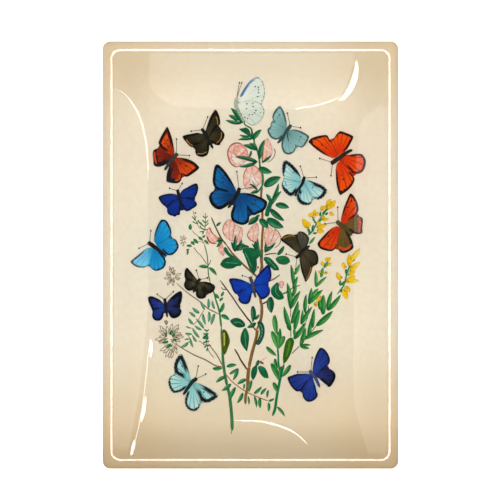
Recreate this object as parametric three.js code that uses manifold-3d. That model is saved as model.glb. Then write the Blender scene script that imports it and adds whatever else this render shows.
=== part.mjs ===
/**
 * Decoupage glass tray: a slumped sheet-glass tray with a flat rim and a soft,
 * rounded well. A printed paper sheet is glued to the underside of the glass, a
 * plain backing sheet covers its back, and four clear bumpers carry the tray.
 *
 * Units are millimetres, +Z is up, +Y is the top of the printed picture. The
 * origin lies on the table, under the middle of the tray.
 */

import * as THREE from 'three';
import { LoftGeometry } from 'three/addons/geometries/LoftGeometry.js';
import { mergeVertices } from 'three/addons/utils/BufferGeometryUtils.js';
import Module from 'manifold-3d';

// Overall outline of the tray.
const WIDTH = 211;
const LENGTH = 305;
const OUTER_CORNER_RADIUS = 5.5;

// Flat rim, and the short step where the rim turns down into the well.
const RIM_WIDTH = 5.5;
const STEP_WIDTH = 2;
const STEP_DEPTH = 1.5;

// Well wall: steepest under the step, then easing off evenly to the flat floor.
const WALL_END = 50;
const WALL_ANGLE = THREE.MathUtils.degToRad( 24 );
const WELL_TOP_CORNER_RADIUS = 5;
const WELL_FLOOR_CORNER_RADIUS = 45;

// The underside skips the small step: it leaves the rim earlier and meets the wall later.
const UNDERSIDE_START = - 1.5;
const UNDERSIDE_END = 5;

// Layers, from the table up.
const BUMPER_HEIGHT = 2;
const BACKING_THICKNESS = 0.5;
const PRINT_THICKNESS = 0.4;
const GLASS_THICKNESS = 4.3;
const LAYER_GAP = 0.3;

// Edges.
const GLASS_EDGE_RADIUS = 1.2;
const PRINT_INSET = 1.3;
const BACKING_INSET = 1.7;

// Bumpers: clear domed discs.
const BUMPER_RADIUS = 4.75;
const BUMPER_FACE_RADIUS = 2.9;
const BUMPER_SKIRT_HEIGHT = 0.6;
const BUMPER_X = 32;
const BUMPER_Y = 79;

// Fineness of the faceted solids.
const CORNER_DIVISIONS = 4;
const STEP_ROWS = 3;
const WALL_ROWS = 6;
const EDGE_ROWS = 3;
const BUMPER_SEGMENTS = 20;
const BUMPER_DOME_ROWS = 4;
const OVERSHOOT = 3;

const MATERIALS = {
	glass: new THREE.MeshStandardMaterial( { color: 0xe6efe9, roughness: 0.03, metalness: 0 } ),
	print: new THREE.MeshStandardMaterial( { color: 0xecdcc3, roughness: 0.6, metalness: 0 } ),
	backing: new THREE.MeshStandardMaterial( { color: 0xf1ede2, roughness: 0.8, metalness: 0 } ),
	bumper: new THREE.MeshStandardMaterial( { color: 0xe9ecea, roughness: 0.25, metalness: 0 } ),
};

const wasm = await Module();
wasm.setup();

/** Value of the cubic that starts level at zero and reaches `end` at `span` with the slope `slope`. */
function easedDrop( distance, span, end, slope ) {

	const t = distance / span;
	return ( 3 * end - slope * span ) * t * t + ( slope * span - 2 * end ) * t * t * t;

}

/** Depth of the well's top face below the rim, at a distance inwards from the rim's inner edge. */
function wellDepth( inward ) {

	if ( inward <= STEP_WIDTH ) return easedDrop( inward, STEP_WIDTH, STEP_DEPTH, Math.tan( WALL_ANGLE ) );
	const span = WALL_END - STEP_WIDTH;
	const angle = WALL_ANGLE * ( WALL_END - inward ) / span;
	return STEP_DEPTH + span / WALL_ANGLE * Math.log( Math.cos( angle ) / Math.cos( WALL_ANGLE ) );

}

/** The same for the underside of the glass, measured from the rim's own underside. */
function undersideDepth( inward ) {

	if ( inward >= UNDERSIDE_END ) return wellDepth( inward );
	const slope = Math.tan( WALL_ANGLE * ( WALL_END - UNDERSIDE_END ) / ( WALL_END - STEP_WIDTH ) );
	const span = UNDERSIDE_END - UNDERSIDE_START;
	return easedDrop( inward - UNDERSIDE_START, span, wellDepth( UNDERSIDE_END ), slope );

}

const WELL_DEPTH = wellDepth( WALL_END );

// Heights of the flat floor, layer by layer.
const BACKING_FLOOR = BUMPER_HEIGHT + LAYER_GAP;
const PRINT_FLOOR = BACKING_FLOOR + BACKING_THICKNESS + LAYER_GAP;
const GLASS_FLOOR = PRINT_FLOOR + PRINT_THICKNESS + LAYER_GAP;
const RIM_TOP = GLASS_FLOOR + GLASS_THICKNESS + WELL_DEPTH;

/** Rounded rectangle at height z, drawn in from the outer edge by `inset`, counterclockwise from above. */
function ring( inset, radius, z ) {

	const x = WIDTH / 2 - inset - radius;
	const y = LENGTH / 2 - inset - radius;
	const quarter = Math.PI / 2;
	const outline = new THREE.Path();
	outline.absarc( x, y, radius, 0, quarter );
	outline.absarc( - x, y, radius, quarter, 2 * quarter );
	outline.absarc( - x, - y, radius, 2 * quarter, 3 * quarter );
	outline.absarc( x, - y, radius, 3 * quarter, 4 * quarter );
	return outline.getPoints( CORNER_DIVISIONS ).map( ( p ) => new THREE.Vector3( p.x, p.y, z ) );

}

/** Ring inside the rim: its corners open out from the well's top to its floor. */
function wellRing( inward, z ) {

	const share = Math.max( inward, 0 ) / WALL_END;
	const radius = THREE.MathUtils.lerp( WELL_TOP_CORNER_RADIUS, WELL_FLOOR_CORNER_RADIUS, share );
	return ring( RIM_WIDTH + inward, radius, z );

}

/** Evenly spaced values from `from` to `to`, both included. */
function steps( from, to, count ) {

	return Array.from( { length: count + 1 }, ( _, i ) => THREE.MathUtils.lerp( from, to, i / count ) );

}

/** Rings of an underside, from the flat floor out and up to the start of the rim. */
function undersideRings( floorZ ) {

	const wall = steps( WALL_END, UNDERSIDE_END, WALL_ROWS );
	const blend = steps( UNDERSIDE_END, UNDERSIDE_START, STEP_ROWS ).slice( 1 );
	return [ ...wall, ...blend ].map( ( s ) => wellRing( s, floorZ + WELL_DEPTH - undersideDepth( s ) ) );

}

/** Rings of the well's top face, from the flat floor out and up to the rim. */
function wellRings() {

	const wall = steps( WALL_END, STEP_WIDTH, WALL_ROWS );
	const step = steps( STEP_WIDTH, 0, STEP_ROWS ).slice( 1 );
	return [ ...wall, ...step ].map( ( s ) => wellRing( s, RIM_TOP - wellDepth( s ) ) );

}

/** Closed solid through a stack of rings, as a manifold. */
function solidThrough( rings ) {

	const loft = new LoftGeometry( rings, { capStart: true, capEnd: true } );
	const bare = new THREE.BufferGeometry();
	bare.setAttribute( 'position', loft.getAttribute( 'position' ) );
	bare.setIndex( loft.getIndex() );
	const merged = mergeVertices( bare );
	return new wasm.Manifold( new wasm.Mesh( {
		numProp: 3,
		vertProperties: new Float32Array( merged.attributes.position.array ),
		triVerts: new Uint32Array( merged.index.array ),
	} ) );

}

/** Geometry of a block with a hollow cut out of its top. */
function hollowed( blockRings, hollowRings ) {

	const cut = solidThrough( blockRings ).subtract( solidThrough( hollowRings ) ).getMesh();
	const geometry = new THREE.BufferGeometry();
	geometry.setAttribute( 'position', new THREE.BufferAttribute( cut.vertProperties, 3 ) );
	geometry.setIndex( new THREE.BufferAttribute( cut.triVerts, 1 ) );
	geometry.computeVertexNormals();
	return geometry;

}

/** Glass: underside, rounded polished edge, flat rim and well. */
function glassGeometry() {

	const rimUnderside = RIM_TOP - GLASS_THICKNESS;
	const r = GLASS_EDGE_RADIUS;
	const lowerEdge = steps( - Math.PI / 2, 0, EDGE_ROWS )
		.map( ( a ) => ring( r - r * Math.cos( a ), OUTER_CORNER_RADIUS, rimUnderside + r + r * Math.sin( a ) ) );
	const upperEdge = steps( 0, Math.PI / 2, EDGE_ROWS )
		.map( ( a ) => ring( r - r * Math.cos( a ), OUTER_CORNER_RADIUS, RIM_TOP - r + r * Math.sin( a ) ) );
	const block = [ ...undersideRings( GLASS_FLOOR ), ...lowerEdge, ...upperEdge ];
	const hollow = [ ...wellRings(), wellRing( 0, RIM_TOP + OVERSHOOT ) ];
	return hollowed( block, hollow );

}

/** Thin sheet that lies under the glass and follows its underside. */
function sheetGeometry( floorZ, thickness, inset ) {

	const rimZ = floorZ + WELL_DEPTH;
	const block = [
		...undersideRings( floorZ ),
		ring( inset, OUTER_CORNER_RADIUS, rimZ ),
		ring( inset, OUTER_CORNER_RADIUS, rimZ + thickness ),
	];
	const hollow = [
		...undersideRings( floorZ + thickness ),
		wellRing( UNDERSIDE_START, rimZ + thickness + OVERSHOOT ),
	];
	return hollowed( block, hollow );

}

/** Clear bumper: a flat stuck face on top, a short skirt and a dome with a flat foot. */
function bumperGeometry() {

	const domeHeight = BUMPER_HEIGHT - BUMPER_SKIRT_HEIGHT;
	const bulge = BUMPER_RADIUS - BUMPER_FACE_RADIUS;
	const dome = steps( 0, Math.PI / 2, BUMPER_DOME_ROWS )
		.map( ( a ) => new THREE.Vector2(
			BUMPER_FACE_RADIUS + bulge * Math.sin( a ),
			domeHeight * ( 1 - Math.cos( a ) ),
		) );
	const profile = [
		new THREE.Vector2( 0, 0 ),
		...dome,
		new THREE.Vector2( BUMPER_RADIUS, BUMPER_HEIGHT ),
		new THREE.Vector2( 0, BUMPER_HEIGHT ),
	];
	const bumper = new THREE.LatheGeometry( profile, BUMPER_SEGMENTS );
	bumper.rotateX( Math.PI / 2 );
	return bumper;

}

/** Adds a named mesh to a group and returns it. */
function addPiece( group, name, geometry, material ) {

	const mesh = new THREE.Mesh( geometry, material.clone() );
	mesh.name = name;
	group.add( mesh );
	return mesh;

}

const tray = new THREE.Group();

addPiece( tray, 'glass_tray', glassGeometry(), MATERIALS.glass );
addPiece( tray, 'print_sheet', sheetGeometry( PRINT_FLOOR, PRINT_THICKNESS, PRINT_INSET ), MATERIALS.print );
addPiece( tray, 'backing_sheet', sheetGeometry( BACKING_FLOOR, BACKING_THICKNESS, BACKING_INSET ), MATERIALS.backing );

const bumpers = new THREE.Group();
tray.add( bumpers );
for ( const [ endName, endSign ] of [ [ 'near', - 1 ], [ 'far', 1 ] ] ) {

	for ( const [ sideName, sideSign ] of [ [ 'left', - 1 ], [ 'right', 1 ] ] ) {

		const bumper = addPiece( bumpers, `bumper_${ endName }_${ sideName }`, bumperGeometry(), MATERIALS.bumper );
		bumper.position.set( sideSign * BUMPER_X, endSign * BUMPER_Y, 0 );

	}

}

export default tray;
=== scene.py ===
"""Decoupage glass tray: fine meshes, glass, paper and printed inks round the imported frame.

A clear slumped glass tray with a printed paper glued beneath it. The picture on
the paper, butterflies among flowering plants, is laid on it as thin ink films, so
each butterfly and plant is a piece of its own. Drawing sizes are millimetres, with
the middle of the tray at (0, 0) and the top of the picture at +Y.
"""

import logging
import math
from dataclasses import dataclass, field
from enum import Enum
from functools import cache
from typing import Iterable, Sequence

import bmesh
import bpy
import numpy as np
from mathutils import Matrix, Vector


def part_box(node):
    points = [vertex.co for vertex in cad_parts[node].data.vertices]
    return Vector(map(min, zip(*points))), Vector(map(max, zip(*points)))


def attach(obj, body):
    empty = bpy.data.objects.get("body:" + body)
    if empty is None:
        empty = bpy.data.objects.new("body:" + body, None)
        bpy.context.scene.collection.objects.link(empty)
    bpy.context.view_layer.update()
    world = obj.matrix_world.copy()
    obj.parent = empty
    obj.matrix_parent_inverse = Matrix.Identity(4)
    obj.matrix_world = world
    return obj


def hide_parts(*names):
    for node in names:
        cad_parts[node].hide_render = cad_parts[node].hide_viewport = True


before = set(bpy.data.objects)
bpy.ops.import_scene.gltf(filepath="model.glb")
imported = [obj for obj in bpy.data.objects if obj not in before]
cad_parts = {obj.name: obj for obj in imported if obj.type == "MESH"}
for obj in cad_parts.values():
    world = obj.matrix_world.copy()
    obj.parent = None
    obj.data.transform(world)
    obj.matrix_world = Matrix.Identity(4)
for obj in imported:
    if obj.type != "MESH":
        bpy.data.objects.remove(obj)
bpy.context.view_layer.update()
LOG = logging.getLogger("tray")
MM = 0.001
DIFFUSE_BOUNCES = 8

Point = tuple[float, float]
Colour = tuple[float, float, float]
Ring = tuple[float, float, float]
Spot = tuple[float, float, float]
ALL_SMOOTH = 180.0


def srgb(red: int, green: int, blue: int) -> Colour:
    """Turns a colour from a paint chart, 0 to 255, into linear light."""
    shares = (channel / 255 for channel in (red, green, blue))
    return tuple(s / 12.92 if s <= 0.04045 else ((s + 0.055) / 1.055) ** 2.4 for s in shares)


class Socket:
    """A shader value that Python's own operators work on."""

    def __init__(self, graph: "Graph", link: bpy.types.NodeSocket) -> None:
        """Keeps the graph and the node socket that carries the value."""
        self.graph = graph
        self.link = link

    def _math(self, operation: str, *values: "Socket | float") -> "Socket":
        """Adds one Math node.

        Args:
            operation: the Math node's operation.
            values: its inputs, in order.
        Returns:
            The node's result.
        """
        return self.graph.add("ShaderNodeMath", {"operation": operation}, dict(enumerate(values)))

    def __add__(self, other: "Socket | float") -> "Socket":
        """Sum."""
        return self._math("ADD", self, other)

    __radd__ = __add__

    def __mul__(self, other: "Socket | float") -> "Socket":
        """Product."""
        return self._math("MULTIPLY", self, other)

    __rmul__ = __mul__

    def __sub__(self, other: "Socket | float") -> "Socket":
        """Difference."""
        return self._math("SUBTRACT", self, other)

    def __rsub__(self, other: float) -> "Socket":
        """Difference from a number."""
        return self._math("SUBTRACT", other, self)

    def __truediv__(self, other: "Socket | float") -> "Socket":
        """Quotient."""
        return self._math("DIVIDE", self, other)

    def __abs__(self) -> "Socket":
        """Size without its sign."""
        return self._math("ABSOLUTE", self)

    def part(self) -> "Socket":
        """What is left over a whole number."""
        return self._math("FRACT", self)

    def ramp(self, low: float, high: float) -> "Socket":
        """Smooth step.

        Args:
            low: value that gives 0.
            high: value that gives 1; it may be the smaller of the two.
        Returns:
            A value from 0 to 1.
        """
        turned = high < low
        ends = (high, low) if turned else (low, high)
        step = self.graph.add(
            "ShaderNodeMapRange",
            {"interpolation_type": "SMOOTHSTEP", "clamp": True},
            {"Value": self, "From Min": ends[0], "From Max": ends[1]},
        )
        return 1 - step if turned else step


class Graph:
    """The nodes of one material or world."""

    def __init__(self, tree: bpy.types.NodeTree) -> None:
        """Starts with the tree empty."""
        self.tree = tree
        tree.nodes.clear()

    def node(self, kind: str, settings: dict, sockets: dict) -> bpy.types.Node:
        """Adds any node.

        Args:
            kind: Blender's name of the node type.
            settings: properties that are set first.
            sockets: a value or a Socket for each input, by name or number.
        Returns:
            The new node.
        """
        made = self.tree.nodes.new(kind)
        for name, value in settings.items():
            setattr(made, name, value)
        for name, value in sockets.items():
            if isinstance(value, Socket):
                self.tree.links.new(value.link, made.inputs[name])
            else:
                made.inputs[name].default_value = value
        return made

    def add(self, kind: str, settings: dict, sockets: dict, output: int | str = 0) -> Socket:
        """Adds a node and gives one of its outputs, the first unless named."""
        return Socket(self, self.node(kind, settings, sockets).outputs[output])

    def mix(
        self, share: Socket | float, low: Colour | Socket, high: Colour | Socket, blend: str = "MIX",
    ) -> Socket:
        """Mixes two colours.

        Args:
            share: how much of the second colour shows.
            low: first colour.
            high: second colour.
            blend: way of mixing.
        Returns:
            The mixed colour.
        """
        colours = [c if isinstance(c, Socket) else (*c, 1.0) for c in (low, high)]
        settings = {"data_type": "RGBA", "blend_type": blend, "clamp_factor": True}
        return self.add("ShaderNodeMix", settings, {0: share, 6: colours[0], 7: colours[1]}, 2)

    def attribute(self, name: str, output: str = "Fac") -> Socket:
        """Reads a value that is stored on the mesh."""
        return self.add("ShaderNodeAttribute", {"attribute_name": name}, {}, output)

    def place(self) -> Socket:
        """Object coordinates, in metres."""
        return self.add("ShaderNodeTexCoord", {}, {}, "Object")

    def noise(self, scale: float, detail: float = 2.0, stretch: Colour | None = None) -> Socket:
        """Noise over the surface.

        Args:
            scale: grains to the metre.
            detail: how many finer layers are added.
            stretch: share of the scale along each axis.
        Returns:
            A value from 0 to 1 about 0.5.
        """
        where = self.place()
        if stretch:
            where = self.add("ShaderNodeMapping", {}, {"Vector": where, "Scale": stretch})
        return self.add("ShaderNodeTexNoise", {}, {"Vector": where, "Scale": scale, "Detail": detail})

    def surface(self, sockets: dict) -> None:
        """Ends the graph in one Principled shader with the sockets given."""
        shader = self.add("ShaderNodeBsdfPrincipled", {}, sockets)
        self.node("ShaderNodeOutputMaterial", {}, {"Surface": shader})


def new_material(name: str) -> tuple[bpy.types.Material, Graph]:
    """Makes an empty material.

    Args:
        name: the material's name.
    Returns:
        The material and its graph.
    """
    material = bpy.data.materials.new(name)
    material.use_nodes = True
    return material, Graph(material.node_tree)


@dataclass(frozen=True)
class ClearGlass:
    """Fire-polished clear glass, very slightly green through its thickness."""

    ior: float = 1.5
    tint: Colour = (0.93, 1.0, 0.96)
    density: float = 1.2

    def material(self) -> bpy.types.Material:
        """Builds the glass as plain transmission with absorption."""
        made, graph = new_material("clear_glass")
        glass = graph.add("ShaderNodeBsdfPrincipled", {}, {
            "Base Color": (1.0, 1.0, 1.0, 1.0), "Roughness": 0.0, "IOR": self.ior,
            "Transmission Weight": 1.0,
        })
        depth = graph.add(
            "ShaderNodeVolumeAbsorption", {}, {"Color": (*self.tint, 1.0), "Density": self.density},
        )
        graph.node("ShaderNodeOutputMaterial", {}, {"Surface": glass, "Volume": depth})
        return made


@dataclass(frozen=True)
class ClearBumper:
    """Clear soft polyurethane with a faint haze."""

    ior: float = 1.49
    tint: Colour = (0.94, 0.96, 0.95)

    def material(self) -> bpy.types.Material:
        """Builds the bumper's clear plastic, with fine scuffs on its foot."""
        made, graph = new_material("clear_bumper")
        haze = graph.noise(900.0, 3.0) * 0.12 + 0.04
        graph.surface({
            "Base Color": (*self.tint, 1.0), "Roughness": haze, "IOR": self.ior,
            "Transmission Weight": 1.0,
        })
        return made


@dataclass(frozen=True)
class PrintPaper:
    """Cream antique paper, browner and darker towards the corners, the top and the foot of the picture,
    partly as toning and partly as painted shade; painted shade also darkens the sloping walls and the rim.
    """

    cream: Colour = srgb(249, 238, 219)
    rose: Colour = srgb(248, 231, 214)
    # brown for the fibres, and for the toning mixed with painted shade
    brown_tone_and_shade: Colour = srgb(232, 207, 172)
    # painted shade on the sloping walls of the well
    painted_wall_shade: Colour = (0.89, 0.885, 0.87)
    # painted shade on the flat rim
    painted_rim_shade: Colour = (0.955, 0.915, 0.9)
    # darker at the foot: partly toning, partly painted shade
    foot_tone_and_shade: Colour = (0.77, 0.75, 0.72)
    half_width: float = 0.1055
    half_length: float = 0.1525
    rim_band: tuple[float, float] = (0.005, 0.0075)
    wall_band: tuple[float, float] = (0.008, 0.048)

    def _within(self, side: Socket, end: Socket, band: tuple[float, float]) -> Socket:
        """Grows from 0 to 1 as a place moves in from the paper's edges, over a band in metres."""
        return (self.half_width - side).ramp(*band) * (self.half_length - abs(end)).ramp(*band)

    def material(self) -> bpy.types.Material:
        """Builds the paper: fibres, blotches, toning mixed with painted shade towards the corners, top and
        foot, and painted shade on the walls and rim.
        """
        made, graph = new_material("printed_paper")
        spot = graph.node("ShaderNodeSeparateXYZ", {}, {"Vector": graph.place()})
        side = abs(Socket(graph, spot.outputs["X"]))
        end = Socket(graph, spot.outputs["Y"])
        across, up = side / self.half_width, end / self.half_length
        # band of the flat rim, which gets painted shade below
        rim = 1 - self._within(side, end, self.rim_band)
        # darker and browner towards the corners, the top and the foot: partly paper toning, partly painted
        # shade
        corner = (across * abs(up)).ramp(0.22, 1.0)
        foot = (up * -1.0).ramp(0.3, 0.95)
        blotch = graph.noise(260.0, 3.0).ramp(0.38, 0.62)
        fibres = graph.noise(2600.0, 3.0, (1.0, 0.35, 1.0)).ramp(0.3, 0.7)
        paper = graph.mix(blotch * 0.8, self.cream, self.rose)
        paper = graph.mix(corner * 0.5 + foot * 0.62 + up.ramp(0.6, 0.95) * 0.3, paper, self.brown_tone_and_shade)
        # painted shade: the sloping walls are multiplied darker
        wall = 1 - self._within(side, end, self.wall_band)
        paper = graph.mix(wall, paper, self.painted_wall_shade, "MULTIPLY")
        # painted shade: the rim is multiplied darker
        paper = graph.mix(rim, paper, self.painted_rim_shade, "MULTIPLY")
        # darker towards the foot: partly paper toning, partly painted shade
        paper = graph.mix((up * -1.0).ramp(0.76, 0.99), paper, self.foot_tone_and_shade, "MULTIPLY")
        paper = graph.mix(fibres * 0.1, paper, self.brown_tone_and_shade)
        bump = graph.add("ShaderNodeBump", {}, {"Strength": 0.15, "Distance": 0.0001, "Height": fibres})
        graph.surface({"Base Color": paper, "Roughness": 0.8, "Specular IOR Level": 0.0, "Normal": bump})
        return made


@dataclass(frozen=True)
class BackingPaper:
    """Plain off-white backing under satin varnish."""

    white: Colour = srgb(238, 233, 222)
    grey: Colour = srgb(214, 206, 190)

    def material(self) -> bpy.types.Material:
        """Builds the backing: long fibres, faint clouding and brushed varnish."""
        made, graph = new_material("backing_paper")
        cloud = graph.noise(45.0, 4.0).ramp(0.35, 0.7)
        fibres = graph.noise(1500.0, 4.0, (1.0, 0.2, 1.0)).ramp(0.4, 0.75)
        paper = graph.mix(cloud * 0.45 + fibres * 0.3, self.white, self.grey)
        bump = graph.add("ShaderNodeBump", {}, {"Strength": 0.3, "Distance": 0.0002, "Height": fibres})
        graph.surface({"Base Color": paper, "Roughness": 0.42 + cloud * 0.2, "Normal": bump})
        return made


@dataclass(frozen=True)
class WingInk:
    """Printed inks of one kind of wing, from its root out to its margin."""

    root: Colour
    outer: Colour
    border: Colour = srgb(18, 18, 26)
    border_width: float = 1.2
    streak: float = 0.35
    veins: float = 0.5
    bristles: float = 9.0
    vein_count: float = 7.0
    hatch_count: float = 31.0
    tick_count: float = 13.0
    fringe: Colour | None = None
    root_shade: float = 0.45
    flecks: float = 0.5

    def material(self, name: str) -> bpy.types.Material:
        """Builds the wing's inks: ground, brush streaks, veins, border and margin line.

        Args:
            name: the material's name.
        Returns:
            The material.
        """
        made, graph = new_material(name)
        along, across, edge = (graph.attribute(key) for key in ("along", "across", "edge"))
        place = graph.add("ShaderNodeCombineXYZ", {}, {"X": across * self.bristles, "Y": along * 1.4})
        strokes = graph.add("ShaderNodeTexNoise", {}, {"Vector": place, "Scale": 5.0, "Detail": 2.0})
        brush = strokes.ramp(0.3, 0.7)
        ground = graph.mix(along.ramp(0.1, 0.95), self.root, self.outer)
        dark = tuple(0.35 * c for c in self.outer)
        ground = graph.mix(brush * self.streak, ground, dark)
        hatch = abs((across * self.hatch_count).part() - 0.5).ramp(0.4, 0.12) * along.ramp(0.1, 0.6)
        ground = graph.mix(hatch * 0.22, ground, dark)
        fleck = graph.noise(760.0, 3.0).ramp(0.57, 0.7) * along.ramp(0.05, 0.3)
        ground = graph.mix(fleck * self.flecks, ground, dark)
        ground = graph.mix(along.ramp(0.38, 0.02) * self.root_shade, ground, dark)
        vein = abs((across * self.vein_count).part() - 0.5).ramp(0.1, 0.03) * along.ramp(0.15, 0.4)
        ground = graph.mix(vein * self.veins, ground, self.border)
        width = self.border_width * (across.ramp(0.02, 0.4) * across.ramp(1.02, 0.7))
        rim = ((edge - width) + brush * 0.5).ramp(0.75, 0.1) * along.ramp(0.25, 0.5)
        ground = graph.mix(rim, ground, self.border)
        if self.fringe:
            ticks = abs((across * self.tick_count).part() - 0.5).ramp(0.3, 0.15)
            ground = graph.mix(ticks * edge.ramp(0.6, 0.3) * along.ramp(0.6, 0.8), ground, self.fringe)
        line = edge.ramp(0.4, 0.12)
        ground = graph.mix(line * 0.8, ground, self.border)
        graph.surface({"Base Color": ground, "Roughness": 0.7, "Specular IOR Level": 0.0})
        return made


class PlantInk(Enum):
    """The ways in which the plants' inks are laid on."""

    LEAF = "leaf"
    PETAL = "petal"
    STROKE = "stroke"
    BODY = "body"
    BLOOM = "bloom"

    def material(self) -> bpy.types.Material:
        """Builds the ink round the colour that each shape carries as its tint.

        Returns:
            The material: half shade, midrib and outline on a leaf, veins on a petal, a
            shaded side on a bloom, rings on a body, and a plain grainy line for a stroke.
        """
        made, graph = new_material(f"{self.value}_ink")
        tint = graph.attribute("tint", "Color")
        along, across, edge = (graph.attribute(key) for key in ("along", "across", "edge"))
        grain = graph.noise(900.0, 2.0).ramp(0.3, 0.7)
        deep = graph.mix(1.0, tint, (0.16, 0.3, 0.22), "MULTIPLY")
        pale = graph.mix(0.3, tint, srgb(190, 225, 160))
        if self is PlantInk.LEAF:
            ink = graph.mix(across.ramp(-0.15, 0.35) * 0.55 + grain * 0.2, tint, deep)
            ink = graph.mix(abs(across + 0.45).ramp(0.4, 0.1) * along.ramp(0.1, 0.4) * 0.5, ink, pale)
            ribs = abs((along * 6.0 - abs(across) * 1.1).part() - 0.5).ramp(0.2, 0.05)
            ink = graph.mix(ribs * 0.32 + along.ramp(0.35, 0.0) * 0.5, ink, deep)
            ink = graph.mix(edge.ramp(0.5, 0.1) * 0.65, ink, deep)
        elif self is PlantInk.PETAL:
            veins = abs((across * 8.0).part() - 0.5).ramp(0.3, 0.04) * along.ramp(0.1, 0.6)
            light = abs((across * 2.0).part() - 0.5).ramp(0.3, 0.02) * along.ramp(1.05, 0.3)
            ink = graph.mix(grain * 0.2 + veins * 0.4, tint, srgb(206, 108, 96))
            ink = graph.mix(light * 0.7, ink, srgb(255, 240, 230))
            ink = graph.mix(edge.ramp(0.5, 0.1) * 0.75, ink, srgb(168, 84, 74))
        elif self is PlantInk.BLOOM:
            ink = graph.mix(across.ramp(0.0, 0.7) * 0.45 + grain * 0.15, tint, srgb(214, 150, 24))
            rim = along.ramp(0.25, 0.0) * 0.5 + edge.ramp(0.35, 0.08) * 0.45
            ink = graph.mix(rim, ink, srgb(132, 104, 28))
        elif self is PlantInk.BODY:
            rings = abs((along * 11.0).part() - 0.5).ramp(0.12, 0.4)
            ink = graph.mix(rings * 0.5 + grain * 0.2, tint, deep)
            ink = graph.mix(edge.ramp(0.5, 0.1) * 0.7, ink, deep)
        else:
            ink = graph.mix(grain * 0.35, tint, deep)
        graph.surface({"Base Color": ink, "Roughness": 0.75, "Specular IOR Level": 0.0})
        return made


@dataclass(frozen=True)
class TrayShape:
    """The tray's form, in millimetres: rings inside its outline and their depths."""

    width: float = 211.0
    length: float = 305.0
    outer_corner: float = 5.5
    rim_width: float = 5.5
    step_width: float = 2.0
    step_depth: float = 1.5
    wall_end: float = 50.0
    wall_angle: float = math.radians(24)
    well_top_corner: float = 7.0
    well_floor_corner: float = 45.0
    underside_start: float = -1.5
    underside_end: float = 5.0
    glass_top_floor: float = 8.1
    corner_steps: int = 16
    side_steps: int = 20
    halvings: int = 24

    @property
    def round_steps(self) -> int:
        """Points round one ring."""
        return 4 * (self.corner_steps + self.side_steps)

    @staticmethod
    def eased(distance: np.ndarray, span: float, end: float, slope: float) -> np.ndarray:
        """Cubic from level zero to `end` at `span`, where it has the slope `slope`."""
        t = distance / span
        return (3 * end - slope * span) * t**2 + (slope * span - 2 * end) * t**3

    def well_depth(self, inward: np.ndarray) -> np.ndarray:
        """Depth of the well's top face below the rim.

        Args:
            inward: distances inwards from the rim's inner edge.
        Returns:
            The depths.
        """
        s = np.clip(np.asarray(inward, float), 0.0, self.wall_end)
        span = self.wall_end - self.step_width
        angle = self.wall_angle * (self.wall_end - np.maximum(s, self.step_width)) / span
        wall = self.step_depth + span / self.wall_angle * np.log(np.cos(angle) / math.cos(self.wall_angle))
        step = self.eased(s, self.step_width, self.step_depth, math.tan(self.wall_angle))
        return np.where(s <= self.step_width, step, wall)

    def underside_depth(self, inward: np.ndarray) -> np.ndarray:
        """The same for the underside, which skips the small step."""
        s = np.clip(np.asarray(inward, float), self.underside_start, self.wall_end)
        share = (self.wall_end - self.underside_end) / (self.wall_end - self.step_width)
        span = self.underside_end - self.underside_start
        end = float(self.well_depth(self.underside_end))
        blend = self.eased(s - self.underside_start, span, end, math.tan(self.wall_angle * share))
        return np.where(s >= self.underside_end, self.well_depth(s), blend)

    @property
    def depth(self) -> float:
        """Depth of the whole well."""
        return float(self.well_depth(self.wall_end))

    def corner_radius(self, inward: np.ndarray) -> np.ndarray:
        """Corner radius of the ring at a distance inside the rim."""
        narrowest = self.well_top_corner - self.step_width
        share = np.clip(inward - self.step_width, 0.0, None) / (self.wall_end - self.step_width)
        grown = narrowest + (self.well_floor_corner - narrowest) * share
        return np.where(inward < self.step_width, self.well_top_corner - inward, grown)

    def ring_point(self, step: int, inset: float, radius: float) -> Point:
        """Finds a point on a rounded rectangle.

        Args:
            step: how many points round, anticlockwise from the right-hand side.
            inset: distance in from the tray's outline.
            radius: the ring's corner radius.
        Returns:
            The point's place.
        """
        corner, part = divmod(step % self.round_steps, self.corner_steps + self.side_steps)
        signs = ((1, 1), (-1, 1), (-1, -1), (1, -1), (1, 1))
        reach = Vector((self.width / 2 - inset - radius, self.length / 2 - inset - radius))
        centre = Vector((signs[corner][0] * reach.x, signs[corner][1] * reach.y))
        turn = corner + min(part / self.corner_steps, 1.0)
        arm = Vector((math.cos(turn * math.pi / 2), math.sin(turn * math.pi / 2))) * radius
        if part > self.corner_steps:
            after = Vector((signs[corner + 1][0] * reach.x, signs[corner + 1][1] * reach.y))
            centre = centre.lerp(after, (part - self.corner_steps) / self.side_steps)
        return (centre.x + arm.x, centre.y + arm.y)

    def inward_at(self, x: np.ndarray, y: np.ndarray) -> np.ndarray:
        """Finds how far inside the rim each place lies, by halving.

        Args:
            x: places across the tray.
            y: places along it.
        Returns:
            Distances inwards from the rim's inner edge, negative on the rim.
        """
        low, high = np.full(len(x), -self.rim_width), np.full(len(x), self.wall_end)
        for _ in range(self.halvings):
            s = (low + high) / 2
            radius = self.corner_radius(s)
            side = np.abs(x) - (self.width / 2 - self.rim_width - s - radius)
            end = np.abs(y) - (self.length / 2 - self.rim_width - s - radius)
            past_corner = np.hypot(np.maximum(side, 0), np.maximum(end, 0))
            inside = past_corner + np.minimum(np.maximum(side, end), 0) < radius
            low, high = np.where(inside, s, low), np.where(inside, high, s)
        return (low + high) / 2


TRAY = TrayShape()


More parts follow.
